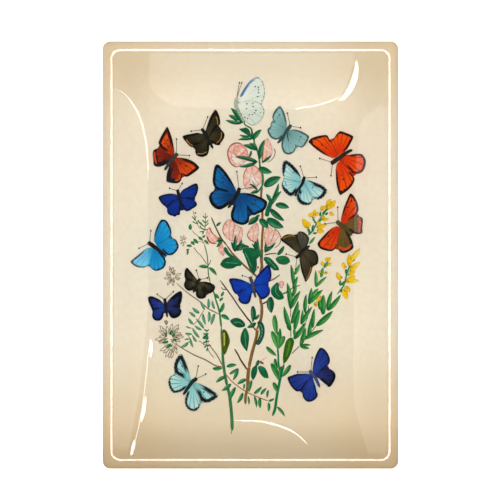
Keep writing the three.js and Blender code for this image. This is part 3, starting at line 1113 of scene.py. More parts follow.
BUTTERFLIES = (
    Butterfly("butterfly_pale_green", (
        Wing((-8.5, 109.5), ((-8, 111), (-5, 116.5), (-2, 121.5), (1, 125), (3.5, 126.7), (5.5, 127),
            (7.3, 125.2), (9.2, 122), (10, 118), (10.2, 114.5), (9, 110.5), (6.5, 107.5), (0, 109.8),
            (-5, 110)), "pale_green"),
        Wing((-9, 108), ((-5, 109.8), (0, 110.3), (4.5, 109.5), (8, 107), (9.8, 103.5), (9.5, 100),
            (7.5, 96.5), (4.5, 93.8), (1.5, 92.5), (-1, 93.4), (-3.2, 95.2), (-5, 97), (-8.5, 102.5)),
            "pale_green"),
    ), ((-10, 111.5), (-10.5, 107), (-9, 103.5), (-7, 99), (-5, 95)), ((-7.9, 123.1), (-6.3, 123)), 2.2,
        srgb(196, 200, 186), ((3.4, 120.3, 1.1), (5.5, 119.9, 1.1), (5.8, 118.1, 1.1), (5.7, 116, 1.1),
        (5.1, 113.2, 1.1), (8.5, 123.7, 0.8), (9, 122, 0.7), (9.8, 118.8, 0.7), (9.8, 115.5, 0.7),
        (9.3, 113, 0.7), (8, 110.3, 0.7), (-2.6, 108, 1.2), (1.6, 108.2, 1), (1.9, 106, 1.1),
        (-2.9, 104.6, 1.1), (3.9, 103.2, 1.2), (-0.8, 100.2, 1), (1.3, 100.3, 1), (2.9, 101.5, 1),
        (-4, 98.3, 1.1), (-2.1, 97.4, 1), (9.3, 103.8, 0.7), (9.2, 101.5, 0.7), (7.2, 101.7, 0.8),
        (-6.5, 100.7, 0.8)), srgb(34, 46, 46),
        (((-7, 113), (-3.4, 119.2), (0, 123.6), (3.5, 125.9), (5.8, 126.2)),), srgb(34, 116, 186), 1.9),
    Butterfly("butterfly_umber", (
        Wing((-30, 84.5), ((-25.2, 89.8), (-22, 90), (-19.8, 88.3), (-18.5, 86), (-18.9, 83.8),
            (-19.8, 82), (-21.3, 80), (-22, 78.5), (-24.5, 78.5), (-27, 79.8), (-29.5, 81.5)), "umber"),
        Wing((-31.5, 83.5), ((-38.7, 78.8), (-39.5, 76), (-39.4, 73.5), (-38.5, 71.3), (-36.5, 70.3),
            (-34, 70), (-31.5, 71), (-30.3, 72.5), (-29.6, 75), (-29.4, 78), (-30, 81)), "umber"),
        Wing((-31, 86), ((-32.2, 88.5), (-30.6, 93.5), (-29, 98), (-27, 101.5), (-25.5, 103.5),
            (-24.5, 103.6), (-23, 101), (-22, 98), (-21.6, 95), (-22, 93), (-24, 91.5), (-25.2, 90),
            (-29.5, 84)), "umber"),
        Wing((-33, 86), ((-35, 86.6), (-38, 87.3), (-42, 86.6), (-46, 85.8), (-48.3, 84.9), (-48.4, 84),
            (-47.5, 82.3), (-45.8, 80.3), (-44, 78.2), (-42, 77), (-40, 77.6), (-38.9, 78.8), (-34, 80)),
            "umber"),
    ), ((-34.3, 89.3), (-32, 86), (-29.4, 81), (-26.7, 76)), ((-30.6, 98.5), (-42.4, 88.4)), 2.2,
        INK_DARK, (), INK_DARK, (((-24.6, 99), (-23.6, 96), (-23.4, 92.8)),
        ((-46, 82.5), (-44.5, 80.5), (-42.5, 78.7), (-41, 78)),
        ((-20.7, 88), (-20.7, 86), (-21, 83.5), (-22.6, 81.3), (-24.3, 79.8)),
        ((-38.2, 72.4), (-36, 72.2), (-33.5, 72.5), (-31, 73.8))), srgb(176, 122, 44), 0.9),
    Butterfly("butterfly_copper_left", (
        Wing((-56, 70.5), ((-64, 76), (-66.5, 76), (-69, 75), (-70, 73), (-69.8, 70), (-69.5, 67),
            (-69.2, 64.3), (-67, 63), (-64, 63.2), (-61, 64.5), (-58.5, 67)), "copper_dark"),
        Wing((-55, 68.5), ((-49.5, 59), (-48.8, 56.5), (-49.3, 54.3), (-50.3, 52.3), (-52.5, 51.2),
            (-56, 51.3), (-59, 52), (-60.2, 53), (-60, 57), (-59, 61), (-57, 66)), "copper_dark"),
        Wing((-55, 71.5), ((-54.3, 73), (-55, 78), (-56, 83), (-57.5, 87.5), (-59.5, 91.5), (-61.5, 88.8),
            (-63.5, 85.5), (-65, 82.5), (-65.8, 80), (-65, 78), (-64, 76.5), (-60, 73.5)), "copper"),
        Wing((-54, 69.5), ((-52, 69.6), (-48, 69.2), (-44, 68.2), (-40.5, 66.5), (-38, 64.3),
            (-36.6, 62.5), (-38, 60.5), (-41, 58.3), (-44, 56.3), (-46, 55.8), (-48, 57), (-50, 58.5)),
            "copper"),
    ), ((-53, 71.5), (-55, 69.5), (-58, 65.5), (-61.5, 60.5)), ((-52.8, 82.7), (-43.7, 71)), 2.6,
        srgb(78, 70, 60), ((-59.5, 82, 1.3), (-58.7, 77.5, 1.1), (-61.5, 79.5, 1), (-46, 63.5, 1.3),
        (-50, 65.2, 1.1), (-44.5, 60.5, 1)), INK_DARK,
        (((-69, 73.5), (-68.4, 69), (-67.4, 65)), ((-50.5, 57.5), (-51.2, 54.2), (-54, 53))),
        srgb(222, 74, 20), 1.7),
    Butterfly("butterfly_sea_grey", (
        Wing((25.5, 88.5), ((17.8, 94.8), (15, 94.5), (14.3, 93.3), (14.2, 91.8), (12.3, 89.9),
            (12.2, 88), (13, 86), (14.3, 84), (16.2, 82.8), (18.3, 82.3), (20.5, 83), (22.5, 84.8)),
            "sea_grey"),
        Wing((26.5, 87.5), ((32.3, 79.5), (32.2, 77), (32, 75), (30.5, 73), (28, 71.8), (25.5, 72),
            (23.5, 73.5), (22.4, 76), (22, 79), (22.7, 82), (24.3, 85.5)), "sea_grey"),
        Wing((26, 89.5), ((26, 92), (25.6, 96), (24.7, 100), (23.3, 103.5), (21.5, 106.2), (20.5, 106.3),
            (18.8, 105), (17, 102.5), (15.9, 100), (15.6, 98), (16.6, 96), (18, 94.8)), "sea_grey"),
        Wing((27, 89), ((28.5, 89.2), (31, 89.6), (34, 89.2), (37, 88), (40, 86.3), (41.8, 84.6),
            (41.2, 82), (40, 80), (38.5, 77.8), (36.5, 76.7), (34.5, 77.3), (32.8, 78.3)), "sea_grey"),
    ), ((28.3, 92), (26.5, 89.5), (22.3, 83.2), (19.3, 79.8)), ((26.3, 101.2), (35.7, 90.9)), 2.2,
        srgb(70, 84, 82), ((20.8, 100, 1), (19.3, 98.5, 0.8), (36, 84.5, 1), (35, 82.5, 0.8)), INK_DARK,
        (((26.7, 87), (26.5, 84.5), (27.2, 81)),), srgb(50, 70, 70), 0.9),
    Butterfly("butterfly_flame", (
        Wing((63, 71.5), ((58, 81), (60, 84), (62.5, 87.3), (64.5, 88.4), (67, 87.6), (70, 86.5),
            (73.3, 84.8), (73.3, 83), (71.5, 79.5), (69.5, 76), (67, 73.5)), "flame"),
        Wing((66, 70), ((68, 71), (71.5, 71.6), (75, 72), (79, 72.1), (81, 70.5), (82.5, 67.5),
            (82.3, 64), (81, 60.5), (79, 58.6), (76, 57.8), (73, 58.5), (71, 61), (67.5, 64.5)), "flame"),
        Wing((62, 70), ((59, 69), (54, 71), (49, 74), (45, 77), (42.5, 79.5), (41.5, 80.7), (43, 83),
            (46.5, 84.5), (50, 85.3), (54.3, 85.6), (56, 83.5), (57.5, 80.8)), "flame"),
        Wing((64, 67.3), ((61.8, 65.5), (61, 61), (61, 57), (61.3, 52), (62.3, 47), (64, 42.9),
            (66.5, 44), (70, 46.5), (73, 50), (74.5, 54), (73, 57), (71, 59)), "flame"),
    ), ((58.8, 66), (62, 68.3), (66, 71), (70, 73.7), (73, 75)), ((49.5, 68.9), (57.5, 56.7)), 2.8,
        srgb(58, 44, 38), ((51, 78.5, 1.2), (54, 76.3, 0.9), (66.3, 54, 1.2), (65, 57, 0.9),
        (43.6, 80.8, 2.2), (45.6, 82.8, 1.8), (64.6, 45.2, 2.2), (67.3, 46.4, 1.7))),
    Butterfly("butterfly_pale_blue", (
        Wing((36, 51), ((24, 54.3), (22.5, 51.5), (22.3, 49), (23.5, 46), (25.5, 43.8), (28, 42),
            (30.5, 42.5), (33, 45), (35, 48)), "sky_pale"),
        Wing((37.8, 50.5), ((44, 41), (44, 38.5), (42.5, 36), (40, 35.5), (37, 35.8), (34.5, 37.5),
            (33.2, 40), (33, 43), (34.5, 46), (36.5, 49)), "sky_pale"),
        Wing((36.5, 52.5), ((36.2, 55), (34.5, 59), (32, 62.5), (29, 65.5), (26.5, 67.2), (24.5, 67.5),
            (23, 65.5), (22.5, 61), (23, 57.5), (24, 55)), "sky_pale"),
        Wing((38.5, 53), ((40, 54), (43, 53), (47, 51.5), (51, 49.8), (53.5, 48), (54.7, 46), (53.5, 43),
            (51, 40.5), (48, 39.5), (45.5, 40.5), (44.5, 41.5)), "sky_pale"),
    ), ((38.3, 55), (37.5, 52.5), (36.5, 50), (33.5, 46), (31.8, 42)), ((35.6, 63.3), (47, 55.5)), 2.0,
        INK_DARK, ((30.5, 58.8, 1), (44.5, 48.2, 1)), INK_DARK,
        (((24.5, 53), (25.2, 50.5), (26, 48.5)), ((35, 44), (35.2, 42), (36.2, 40))), srgb(104, 184, 226),
        1.0),
    Butterfly("butterfly_deep_blue", (
        Wing((-51, 39.5), ((-58.5, 35), (-59.6, 33), (-59.5, 30.5), (-58, 28.6), (-55.5, 27.8),
            (-54, 27.3), (-52.5, 28.4), (-50.7, 28.7), (-50.2, 31), (-50.2, 34), (-50.5, 37)),
            "deep_blue"),
        Wing((-50, 40), ((-45, 40.2), (-41, 39.7), (-39, 38), (-38.2, 36), (-39.5, 34.3), (-41.5, 33),
            (-43.5, 31.7), (-45.8, 31.3), (-47.5, 32.5), (-48.5, 35), (-49.5, 38)), "deep_blue"),
        Wing((-51.5, 42), ((-53, 43.3), (-56, 43.8), (-59, 43.7), (-62.5, 43), (-65, 42), (-65.8, 40.6),
            (-64.8, 38.5), (-63, 36.2), (-60.5, 34.5), (-58.5, 35), (-55, 38.5)), "deep_blue"),
        Wing((-50.5, 42.5), ((-50, 44.5), (-48, 46.7), (-45, 48.4), (-42, 50), (-39.5, 51), (-38, 50.7),
            (-37.3, 48), (-37.8, 45), (-39, 42), (-41, 40), (-44, 40.2), (-48, 40.7)), "deep_blue"),
    ), ((-52, 45.7), (-51, 42), (-50, 38), (-49, 32)), ((-57.8, 47.6), (-48.8, 51)), 2.0),
    Butterfly("butterfly_azure", (
        Wing((-10.5, 42.5), ((-22, 46.4), (-25, 46.3), (-28, 44.7), (-29.3, 42.5), (-29.7, 40.5),
            (-28.8, 37.5), (-27, 34.8), (-24.5, 33), (-21.5, 32.5), (-18.5, 33.8), (-16, 35.5),
            (-13, 38.5)), "azure_dark"),
        Wing((-9.3, 42), ((-3, 34), (-1.8, 31), (-1, 28), (-1, 25), (-2, 22.9), (-5, 21.5), (-8, 21.8),
            (-11, 23), (-13.3, 25), (-14.1, 28), (-13.8, 31), (-12.5, 34), (-11, 37)), "azure"),
        Wing((-10, 44), ((-10.2, 46), (-12, 50), (-14.5, 54.5), (-17.5, 59), (-20.5, 62.5), (-23.5, 64.7),
            (-25.3, 63.5), (-26.3, 60), (-26.8, 56), (-27, 53), (-26.5, 50), (-25, 47.8), (-22.5, 46.3),
            (-15, 44.5)), "azure"),
        Wing((-8.5, 43.5), ((-7.5, 44.3), (-3.5, 44.3), (1, 43.6), (5.5, 41.9), (9.5, 40), (11.7, 38),
            (11.7, 35.5), (10.5, 32.8), (8.5, 31), (5.5, 29.6), (2.5, 28.4), (0.5, 29.3), (-1, 31.5),
            (-3, 34)), "azure"),
    ), ((-8.2, 46.8), (-9, 44.5), (-12, 39), (-16, 33.5)), ((-9.8, 59.5), (2.5, 48.6)), 2.4, INK_DARK,
        ((-20, 55, 1.1), (-18.5, 57, 1.1), (-19.5, 52, 1.1), (3.5, 39, 1.1), (3, 36.5, 1.1), (1, 36, 1))),
    Butterfly("butterfly_ruby", (
        Wing((67, 21), ((75, 28), (77, 27.8), (79.5, 26.8), (80.5, 25), (80.3, 22), (80, 19),
            (80.2, 16.5), (79.5, 15.3), (76.5, 14.8), (73.5, 15.5), (70.5, 18)), "sepia_brown"),
        Wing((65.3, 19.5), ((61.5, 7.5), (62.5, 4.5), (64, 2.3), (66, 1.3), (68.5, 1.6), (71.5, 3.2),
            (73.6, 5), (73.2, 8.5), (72, 12), (70, 15.5), (67.5, 18.5)), "sepia_brown"),
        Wing((65.3, 22.2), ((64.7, 24), (65, 27), (66, 31), (67.3, 35), (69, 39), (70.5, 42.5),
            (71.8, 43.9), (74, 42), (76, 38.5), (77, 35), (77.3, 32), (76.5, 30), (75, 28), (69, 23.5)),
            "ruby"),
        Wing((64, 20), ((62, 20.6), (59, 19.6), (55.5, 17), (52, 13.5), (49.3, 10.5), (48, 8.5),
            (48.2, 6.5), (50, 4.5), (52.5, 3.5), (56, 2.7), (58.5, 2.9), (60.5, 4.5), (61.5, 7.5)),
            "ruby"),
    ), ((62.6, 23.2), (65.5, 20.8), (68.5, 18.5), (72.5, 14)), ((62.4, 34), (53.2, 22.3)), 2.8,
        srgb(96, 84, 50), ((69.3, 34, 1.3), (67.8, 28.7, 1), (72.3, 38.5, 1.2), (74, 33, 1),
        (55.7, 13.5, 1.3), (59.2, 15.7, 1), (55.5, 7.5, 1.1)), INK_DARK,
        (((77.2, 26.8), (78.4, 23), (78, 19), (78, 16)), ((62.8, 6), (66.5, 4.2), (70, 5), (72.3, 7.5))),
        srgb(222, 84, 26), 2.0),
    Butterfly("butterfly_bright_sky", (
        Wing((-67, 7), ((-58.5, 12), (-56, 12), (-53.5, 11), (-52.2, 9), (-51.3, 6.3), (-52, 4),
            (-53.5, 2), (-55.5, 0.3), (-58, -0.3), (-60, 0.5), (-63, 3.5)), "bright_sky"),
        Wing((-69, 4.5), ((-73, -6.8), (-71.8, -8.3), (-70.5, -10), (-68, -11.3), (-65.5, -11),
            (-62.8, -9.8), (-61, -7.5), (-60.5, -4.5), (-61.5, -2), (-63.5, 0.5), (-66, 3.3)),
            "bright_sky"),
        Wing((-68, 8), ((-69.2, 10), (-68.8, 14), (-67.8, 18), (-66, 22), (-64.3, 24.8), (-62.5, 25.3),
            (-60, 24.3), (-58, 21), (-56.7, 17.5), (-56.6, 15), (-57.5, 13.5), (-58.5, 12.3)),
            "bright_sky"),
        Wing((-70, 5), ((-72, 5.3), (-75, 4.3), (-78.5, 1.5), (-81.5, -1), (-84.5, -3.3), (-85.8, -5),
            (-84, -7), (-81, -8.6), (-77.5, -9), (-75, -8.6), (-73, -6.8)), "light_sky"),
    ), ((-72.3, 8.3), (-69, 6), (-65, 2.8), (-60.5, -0.5)), ((-71.3, 17.3), (-79.8, 4.8)), 2.6,
        srgb(48, 26, 30)),
    Butterfly("butterfly_bark", (
        Wing((36.5, 3), ((33.3, 13), (33.5, 15.5), (35, 16.8), (37.5, 16.5), (40, 14.8), (41.8, 12),
            (41.5, 9.5), (40.3, 6.5), (39, 4)), "bark_blue"),
        Wing((38, 2.5), ((41, 3.8), (44, 3.8), (46.5, 2.5), (48, 0), (48.5, -3), (48, -6), (46.5, -7.3),
            (44.5, -7), (42.5, -5.5)), "bark"),
        Wing((35, 1), ((33, 1.8), (30, 4), (26.5, 7), (23.5, 9), (21.8, 10.7), (22.5, 12.5), (25, 14.3),
            (28, 14.8), (31, 14.2), (33.2, 13), (36, 5)), "bark"),
        Wing((36, 0.5), ((35, -1.5), (35.2, -5), (35.8, -9), (37, -13.5), (38.3, -17), (39.3, -19.2),
            (41, -17.5), (42.5, -14.5), (43.8, -11), (44, -8), (42, -4)), "bark"),
    ), ((33.2, -1.5), (35, 0), (38, 4), (42.5, 6.5)), ((25.5, 0.6), (32.2, -10.2)), 2.2, INK_DARK, (),
        INK_DARK, (((23, 11.5), (25.5, 13), (29, 13.8), (32, 13)),
        ((43.3, -8.5), (42.5, -12), (41, -15.5), (39.5, -17.8))), srgb(170, 116, 48), 0.9),
    Butterfly("butterfly_soot", (
        Wing((-38, -20), ((-45, -18), (-47, -19.5), (-47.5, -21.5), (-46.5, -24), (-44.3, -25.5),
            (-42, -25.2), (-40.3, -23.5)), "soot"),
        Wing((-37.2, -20.5), ((-34, -24), (-32.2, -26.2), (-31.7, -28), (-32, -30.2), (-34.5, -31.3),
            (-37, -31), (-38.8, -29.2), (-39, -27), (-38.3, -24)), "soot"),
        Wing((-37.3, -18.8), ((-38, -17.8), (-40.5, -14.5), (-43, -11.5), (-45.3, -9.1), (-46.8, -11),
            (-47.2, -14), (-46.8, -16.5), (-45.3, -17.9), (-42, -18.5)), "soot"),
        Wing((-36.8, -19.2), ((-35, -19), (-31.5, -19.2), (-28.5, -20), (-26.2, -21.3), (-25.2, -23),
            (-26, -25.2), (-28, -27), (-30, -27.5), (-32, -26), (-34, -23)), "soot"),
    ), ((-36.5, -17.7), (-37.5, -19), (-39.3, -23), (-40.8, -27)), ((-38.7, -11), (-30.8, -16.4)), 1.9),
    Butterfly("butterfly_royal", (
        Wing((1.5, -22.5), ((-6.5, -26.5), (-8, -29), (-8.6, -32), (-6.8, -34.3), (-4, -35.2),
            (-1.3, -34.5), (0, -32), (0.7, -29), (1.3, -26)), "royal"),
        Wing((3, -22), ((11, -21.3), (13.3, -22.8), (14, -25.5), (13.3, -28.5), (11.5, -30.3), (9, -31.7),
            (6.8, -31), (5, -28.5), (3.5, -25)), "royal"),
        Wing((1, -21), ((0, -20.5), (-3.5, -18.8), (-7, -17.4), (-11, -16.7), (-14.5, -16.8),
            (-15.3, -18.3), (-14, -21.5), (-12.8, -25), (-10.7, -27.7), (-8.5, -27.5), (-6, -25.5)),
            "royal"),
        Wing((2.2, -20.5), ((2.5, -18.5), (4.5, -15), (7.5, -11.5), (10, -8.8), (12.3, -7), (13.8, -7.8),
            (14.7, -11), (15, -14.5), (14.5, -17.5), (12.8, -19.8), (11, -21)), "royal"),
    ), ((0, -16.5), (1.5, -21), (2.5, -26), (3.7, -30.5)), ((-5.8, -14.8), (5.4, -8.8)), 2.1,
        srgb(92, 84, 80)),
    Butterfly("butterfly_indigo", (
        Wing((-61.8, -37), ((-69.3, -39.5), (-70.3, -41.5), (-70.3, -44), (-69, -46.2), (-66.5, -47),
            (-64, -46.3), (-62.5, -44), (-61.9, -41)), "indigo"),
        Wing((-60, -37), ((-51.3, -37.8), (-49.6, -39), (-49.3, -40.8), (-50.3, -43), (-52.3, -44.6),
            (-54.7, -45.3), (-57, -44.4), (-58.5, -42), (-59.3, -39.5)), "indigo_dark"),
        Wing((-61.5, -35.5), ((-62.5, -34.3), (-65, -32), (-68, -30.4), (-71, -29.4), (-73, -30),
            (-73.3, -32), (-72.3, -35), (-71, -37.8), (-69.2, -39.3), (-65, -38.5)), "indigo"),
        Wing((-60, -35.5), ((-59.7, -33.8), (-57.5, -31), (-54.5, -28.3), (-51.5, -26.3), (-49.5, -26),
            (-48.7, -28.5), (-49, -32), (-50, -35), (-51.3, -37.3), (-55, -37.5)), "indigo_dark"),
    ), ((-61.3, -32), (-60.8, -35.5), (-60.2, -40), (-59.5, -44.5)), ((-66.7, -28.1), (-55.2, -26.2)),
        1.9),
    Butterfly("butterfly_aqua", (
        Wing((-43.5, -91), ((-53, -85.5), (-56, -86), (-58, -88), (-58.8, -91), (-58.2, -94),
            (-57, -96.5), (-55, -98.5), (-52, -98.3), (-48.5, -97), (-45.5, -94)), "aqua"),
        Wing((-41.5, -93), ((-36.3, -103), (-35.8, -106), (-36.3, -108.5), (-37.5, -110.3),
            (-39.5, -111.5), (-42, -111.5), (-44.5, -110.3), (-46.3, -108), (-47, -105), (-46.5, -101.5),
            (-45, -97.5)), "aqua"),
        Wing((-42.5, -89.5), ((-43.5, -85), (-44.7, -81), (-46, -77), (-47.8, -73), (-49.2, -70.8),
            (-51, -71.5), (-53, -74), (-54.3, -77), (-54.8, -80.5), (-54.2, -83.5), (-52.5, -85.5),
            (-47, -88)), "aqua_tip"),
        Wing((-40, -91), ((-38, -91.2), (-34.5, -92.8), (-31, -94.3), (-27.5, -96.5), (-24.8, -98.5),
            (-23.3, -100.5), (-24.5, -102.5), (-27, -104), (-29.5, -105.3), (-32.5, -105.5),
            (-35, -104.5), (-36.5, -102), (-39, -96)), "aqua_tip"),
    ), ((-39.3, -88.8), (-42, -91), (-45, -95.4), (-48, -99.8)), ((-37.3, -79.4), (-32, -85.1)), 2.5,
        srgb(28, 52, 54), ((-48.8, -79.5, 1.1), (-33.5, -98, 1.1))),
    Butterfly("butterfly_violet", (
        Wing((46, -86), ((53, -80.7), (56.5, -81.3), (59.3, -83), (60.8, -85.5), (60.5, -88.5),
            (59, -91.5), (57, -94), (54.8, -94), (52.5, -91.5), (49, -88.5)), "violet_dark"),
        Wing((44.5, -87.5), ((37.3, -95.3), (37, -98.5), (37.5, -101.5), (39.3, -104), (42, -105),
            (45, -104), (47.3, -102), (48.1, -99.7), (47.3, -96.5), (46, -92.5), (45, -89.5)), "violet"),
        Wing((45, -85), ((44.3, -82), (44.8, -78), (45.8, -74), (47.3, -70), (49, -67), (50.5, -66.2),
            (53, -67.5), (55.3, -70.5), (56.7, -74), (56.5, -77), (55, -79), (53.2, -80.5), (48, -84)),
            "violet"),
        Wing((43.5, -85.5), ((41, -84.7), (37, -84.8), (33, -85), (29, -86.3), (26.5, -87.5), (27, -90),
            (28.5, -93), (30.5, -95.5), (33, -97.5), (35, -97.2), (37.3, -95.5), (41, -89)), "violet"),
    ), ((43, -83.5), (44.5, -85.5), (46.5, -88), (49.5, -94.5)), ((33.7, -83.5), (44, -73.3)), 2.4,
        srgb(84, 90, 136), (), INK_DARK,
        (((46, -88.5), (47.2, -94), (48, -98.5)), ((47.5, -88), (51.5, -91.5), (55, -94))),
        srgb(236, 234, 226), 1.5),
)

BUTTERFLY_LEVEL = 0.36
HEAD_LEVEL = 0.14
HEAD_SWAYS = (0.11, -0.09)
HEAD_KNEE = 0.68
GREEN = srgb(24, 126, 82)
MID_GREEN = srgb(46, 146, 90)
SAGE = srgb(106, 178, 142)
BROOM = srgb(50, 148, 68)
LIGHT_BROOM = srgb(84, 172, 86)
MOSS = srgb(60, 110, 24)
OLIVE = srgb(120, 116, 50)
TEAL_DARK = srgb(24, 110, 78)
STEM_GREEN = srgb(66, 128, 78)
STEM_BROWN = srgb(150, 102, 50)
BARK_BROWN = srgb(96, 66, 38)
PINK = srgb(252, 204, 188)
ROSE = srgb(246, 182, 166)
PALE_PINK = srgb(250, 216, 200)
WHITE_PINK = srgb(250, 238, 228)
BROWN_PINK = srgb(178, 96, 82)
SEPIA = srgb(138, 116, 94)
YELLOW = srgb(248, 202, 10)
PALE_YELLOW = srgb(242, 216, 52)
OCHRE = srgb(206, 150, 40)

BladeRow = tuple[float, float, float, float, float]
BladeGroup = tuple[Colour, tuple[BladeRow, ...]]
StemGroup = tuple[Colour, float, float, tuple[Point, ...]]
PLANT_INKS = (PlantInk.LEAF, PlantInk.PETAL, PlantInk.STROKE, PlantInk.BODY, PlantInk.BLOOM)
LEAF, PETAL, STROKE, BODY, BLOOM = range(5)


@dataclass(frozen=True)
class Plant:
    """One plant's part of the picture: groups of stems, leaves, petals and marks, laid in that order."""

    name: str
    level: float
    stems: tuple[StemGroup, ...] = ()
    leaves: tuple[BladeGroup, ...] = ()
    patches: tuple[tuple[Colour, int, tuple[Point, ...]], ...] = ()
    over: tuple[StemGroup, ...] = ()
    dots: tuple[tuple[Colour, tuple[Spot, ...]], ...] = ()
    top_leaves: tuple[BladeGroup, ...] = ()
    petals: tuple[BladeGroup, ...] = ()
    bend: float = 0.05
    petal_swell: float = 1.35
    ink_rise: float = 0.002

    def build(self) -> bpy.types.Object:
        """Draws the plant and lays it on the print.

        Returns:
            The finished piece.
        """
        drawing = Sheet2D(self.level, self.ink_rise)
        for tint, start, end, points in self.stems:
            drawing.line(points, start, end, tint, STROKE)
        self._blades(drawing, self.leaves, LEAF)
        self._blades(drawing, self.petals, BLOOM)
        for tint, ink, points in self.patches:
            drawing.patch(points, tint, ink)
        for tint, start, end, points in self.over:
            drawing.line(points, start, end, tint, STROKE)
        self._blades(drawing, self.top_leaves, LEAF)
        for tint, spots in self.dots:
            for x, y, size in spots:
                drawing.dot((x, y), size, tint, STROKE)
        return print_piece(drawing, self.name, [plant_material(ink) for ink in PLANT_INKS])

    def _blades(self, drawing: Sheet2D, groups: Iterable[BladeGroup], ink: int) -> None:
        """Draws groups of pointed leaves or petals, bowing one way and then the other."""
        for tint, rows in groups:
            for number, (x0, y0, x1, y1, width) in enumerate(rows):
                side = 1 if number % 2 else -1
                swell = self.petal_swell if ink == BLOOM else 1.0
                drawing.blade((x0, y0), (x1, y1), width * swell, tint, ink, side * self.bend)


RESTHARROW_STEM = Plant("restharrow_stems", 0.02,
    stems=(
        (STEM_GREEN, 1.0, 1.4, ((-4.4, 96), (-4.2, 93.3), (-1.5, 91.5), (0.5, 90), (2, 84), (3, 80))),
        (STEM_GREEN, 1.2, 1.6,
            ((3, 80), (4.5, 75.5), (6, 70), (6.5, 66), (7, 62), (8.5, 58), (8.8, 54), (8.3, 49))),
        (STEM_BROWN, 1.5, 1.7, ((8.3, 49), (7.8, 45), (7.6, 41.5), (8.2, 36), (8.5, 30), (8.4, 25))),
        (STEM_BROWN, 1.7, 1.9,
            ((8.4, 25), (8.9, 20), (8.5, 15), (8, 5), (7.5, -3), (8, -8), (7, -13), (6.6, -22))),
        (STEM_BROWN, 1.9, 2.1,
            ((6.6, -22), (7.2, -32.5), (8, -36), (8, -40), (7.5, -45), (6.2, -50), (4.5, -53))),
        (STEM_BROWN, 2.1, 2.2,
            ((4.5, -53), (4.5, -57), (3.7, -60.5), (2.5, -65), (1, -70), (0, -75), (-1.2, -80))),
        (STEM_BROWN, 2.2, 2.0, ((-1.2, -80), (-2, -87), (-2.2, -95), (-3.5, -101), (-3.6, -106.7))),
        (BARK_BROWN, 0.9, 1.2, ((-28, 27), (-25, 20), (-22, 14), (-20.3, 11), (-17, 7))),
        (STEM_BROWN, 1.2, 1.5,
            ((-17, 7), (-14.3, 3), (-12.5, 0.7), (-8, -4), (-4, -8), (0, -11.5), (3, -14), (6.5, -18))),
        (BARK_BROWN, 0.9, 1.2, ((-21.8, -18), (-17, -24.5), (-13, -30), (-9, -36), (-5, -41.5),
            (-2, -45.5), (0, -48), (3.5, -54))),
        (BARK_BROWN, 1.0, 1.4, ((-11.5, -67), (-9, -71), (-7, -75), (-4, -79.5), (-2.3, -82))),
        (BARK_BROWN, 1.2, 0.9, ((8.5, -35), (10.5, -34), (12, -33), (15, -30))),
        (STEM_BROWN, 1.2, 0.9, ((7.5, -20), (12, -19), (17, -17), (21, -14))),
        (BARK_BROWN, 0.5, 0.4, ((8.9, 4), (8.6, -4), (8.9, -10), (7.8, -20))),
        (BARK_BROWN, 0.5, 0.4,
            ((8.6, -36), (8.8, -42), (7.2, -50), (5.3, -56), (2.8, -67), (-0.2, -80), (-1.2, -95))),
        (BARK_BROWN, 0.8, 0.5, ((-25, 20), (-26.5, 23), (-27, 25))),
        (BARK_BROWN, 0.9, 0.5, ((-17, -24.5), (-19.5, -24.5), (-21, -23))),
        (STEM_GREEN, 1.2, 0.8, ((23, -27.8), (25.5, -26.8), (28, -25.5))),
        (STEM_BROWN, 0.8, 0.8, ((1.2, -51.5), (3, -52.5), (4.3, -54))),
    ))

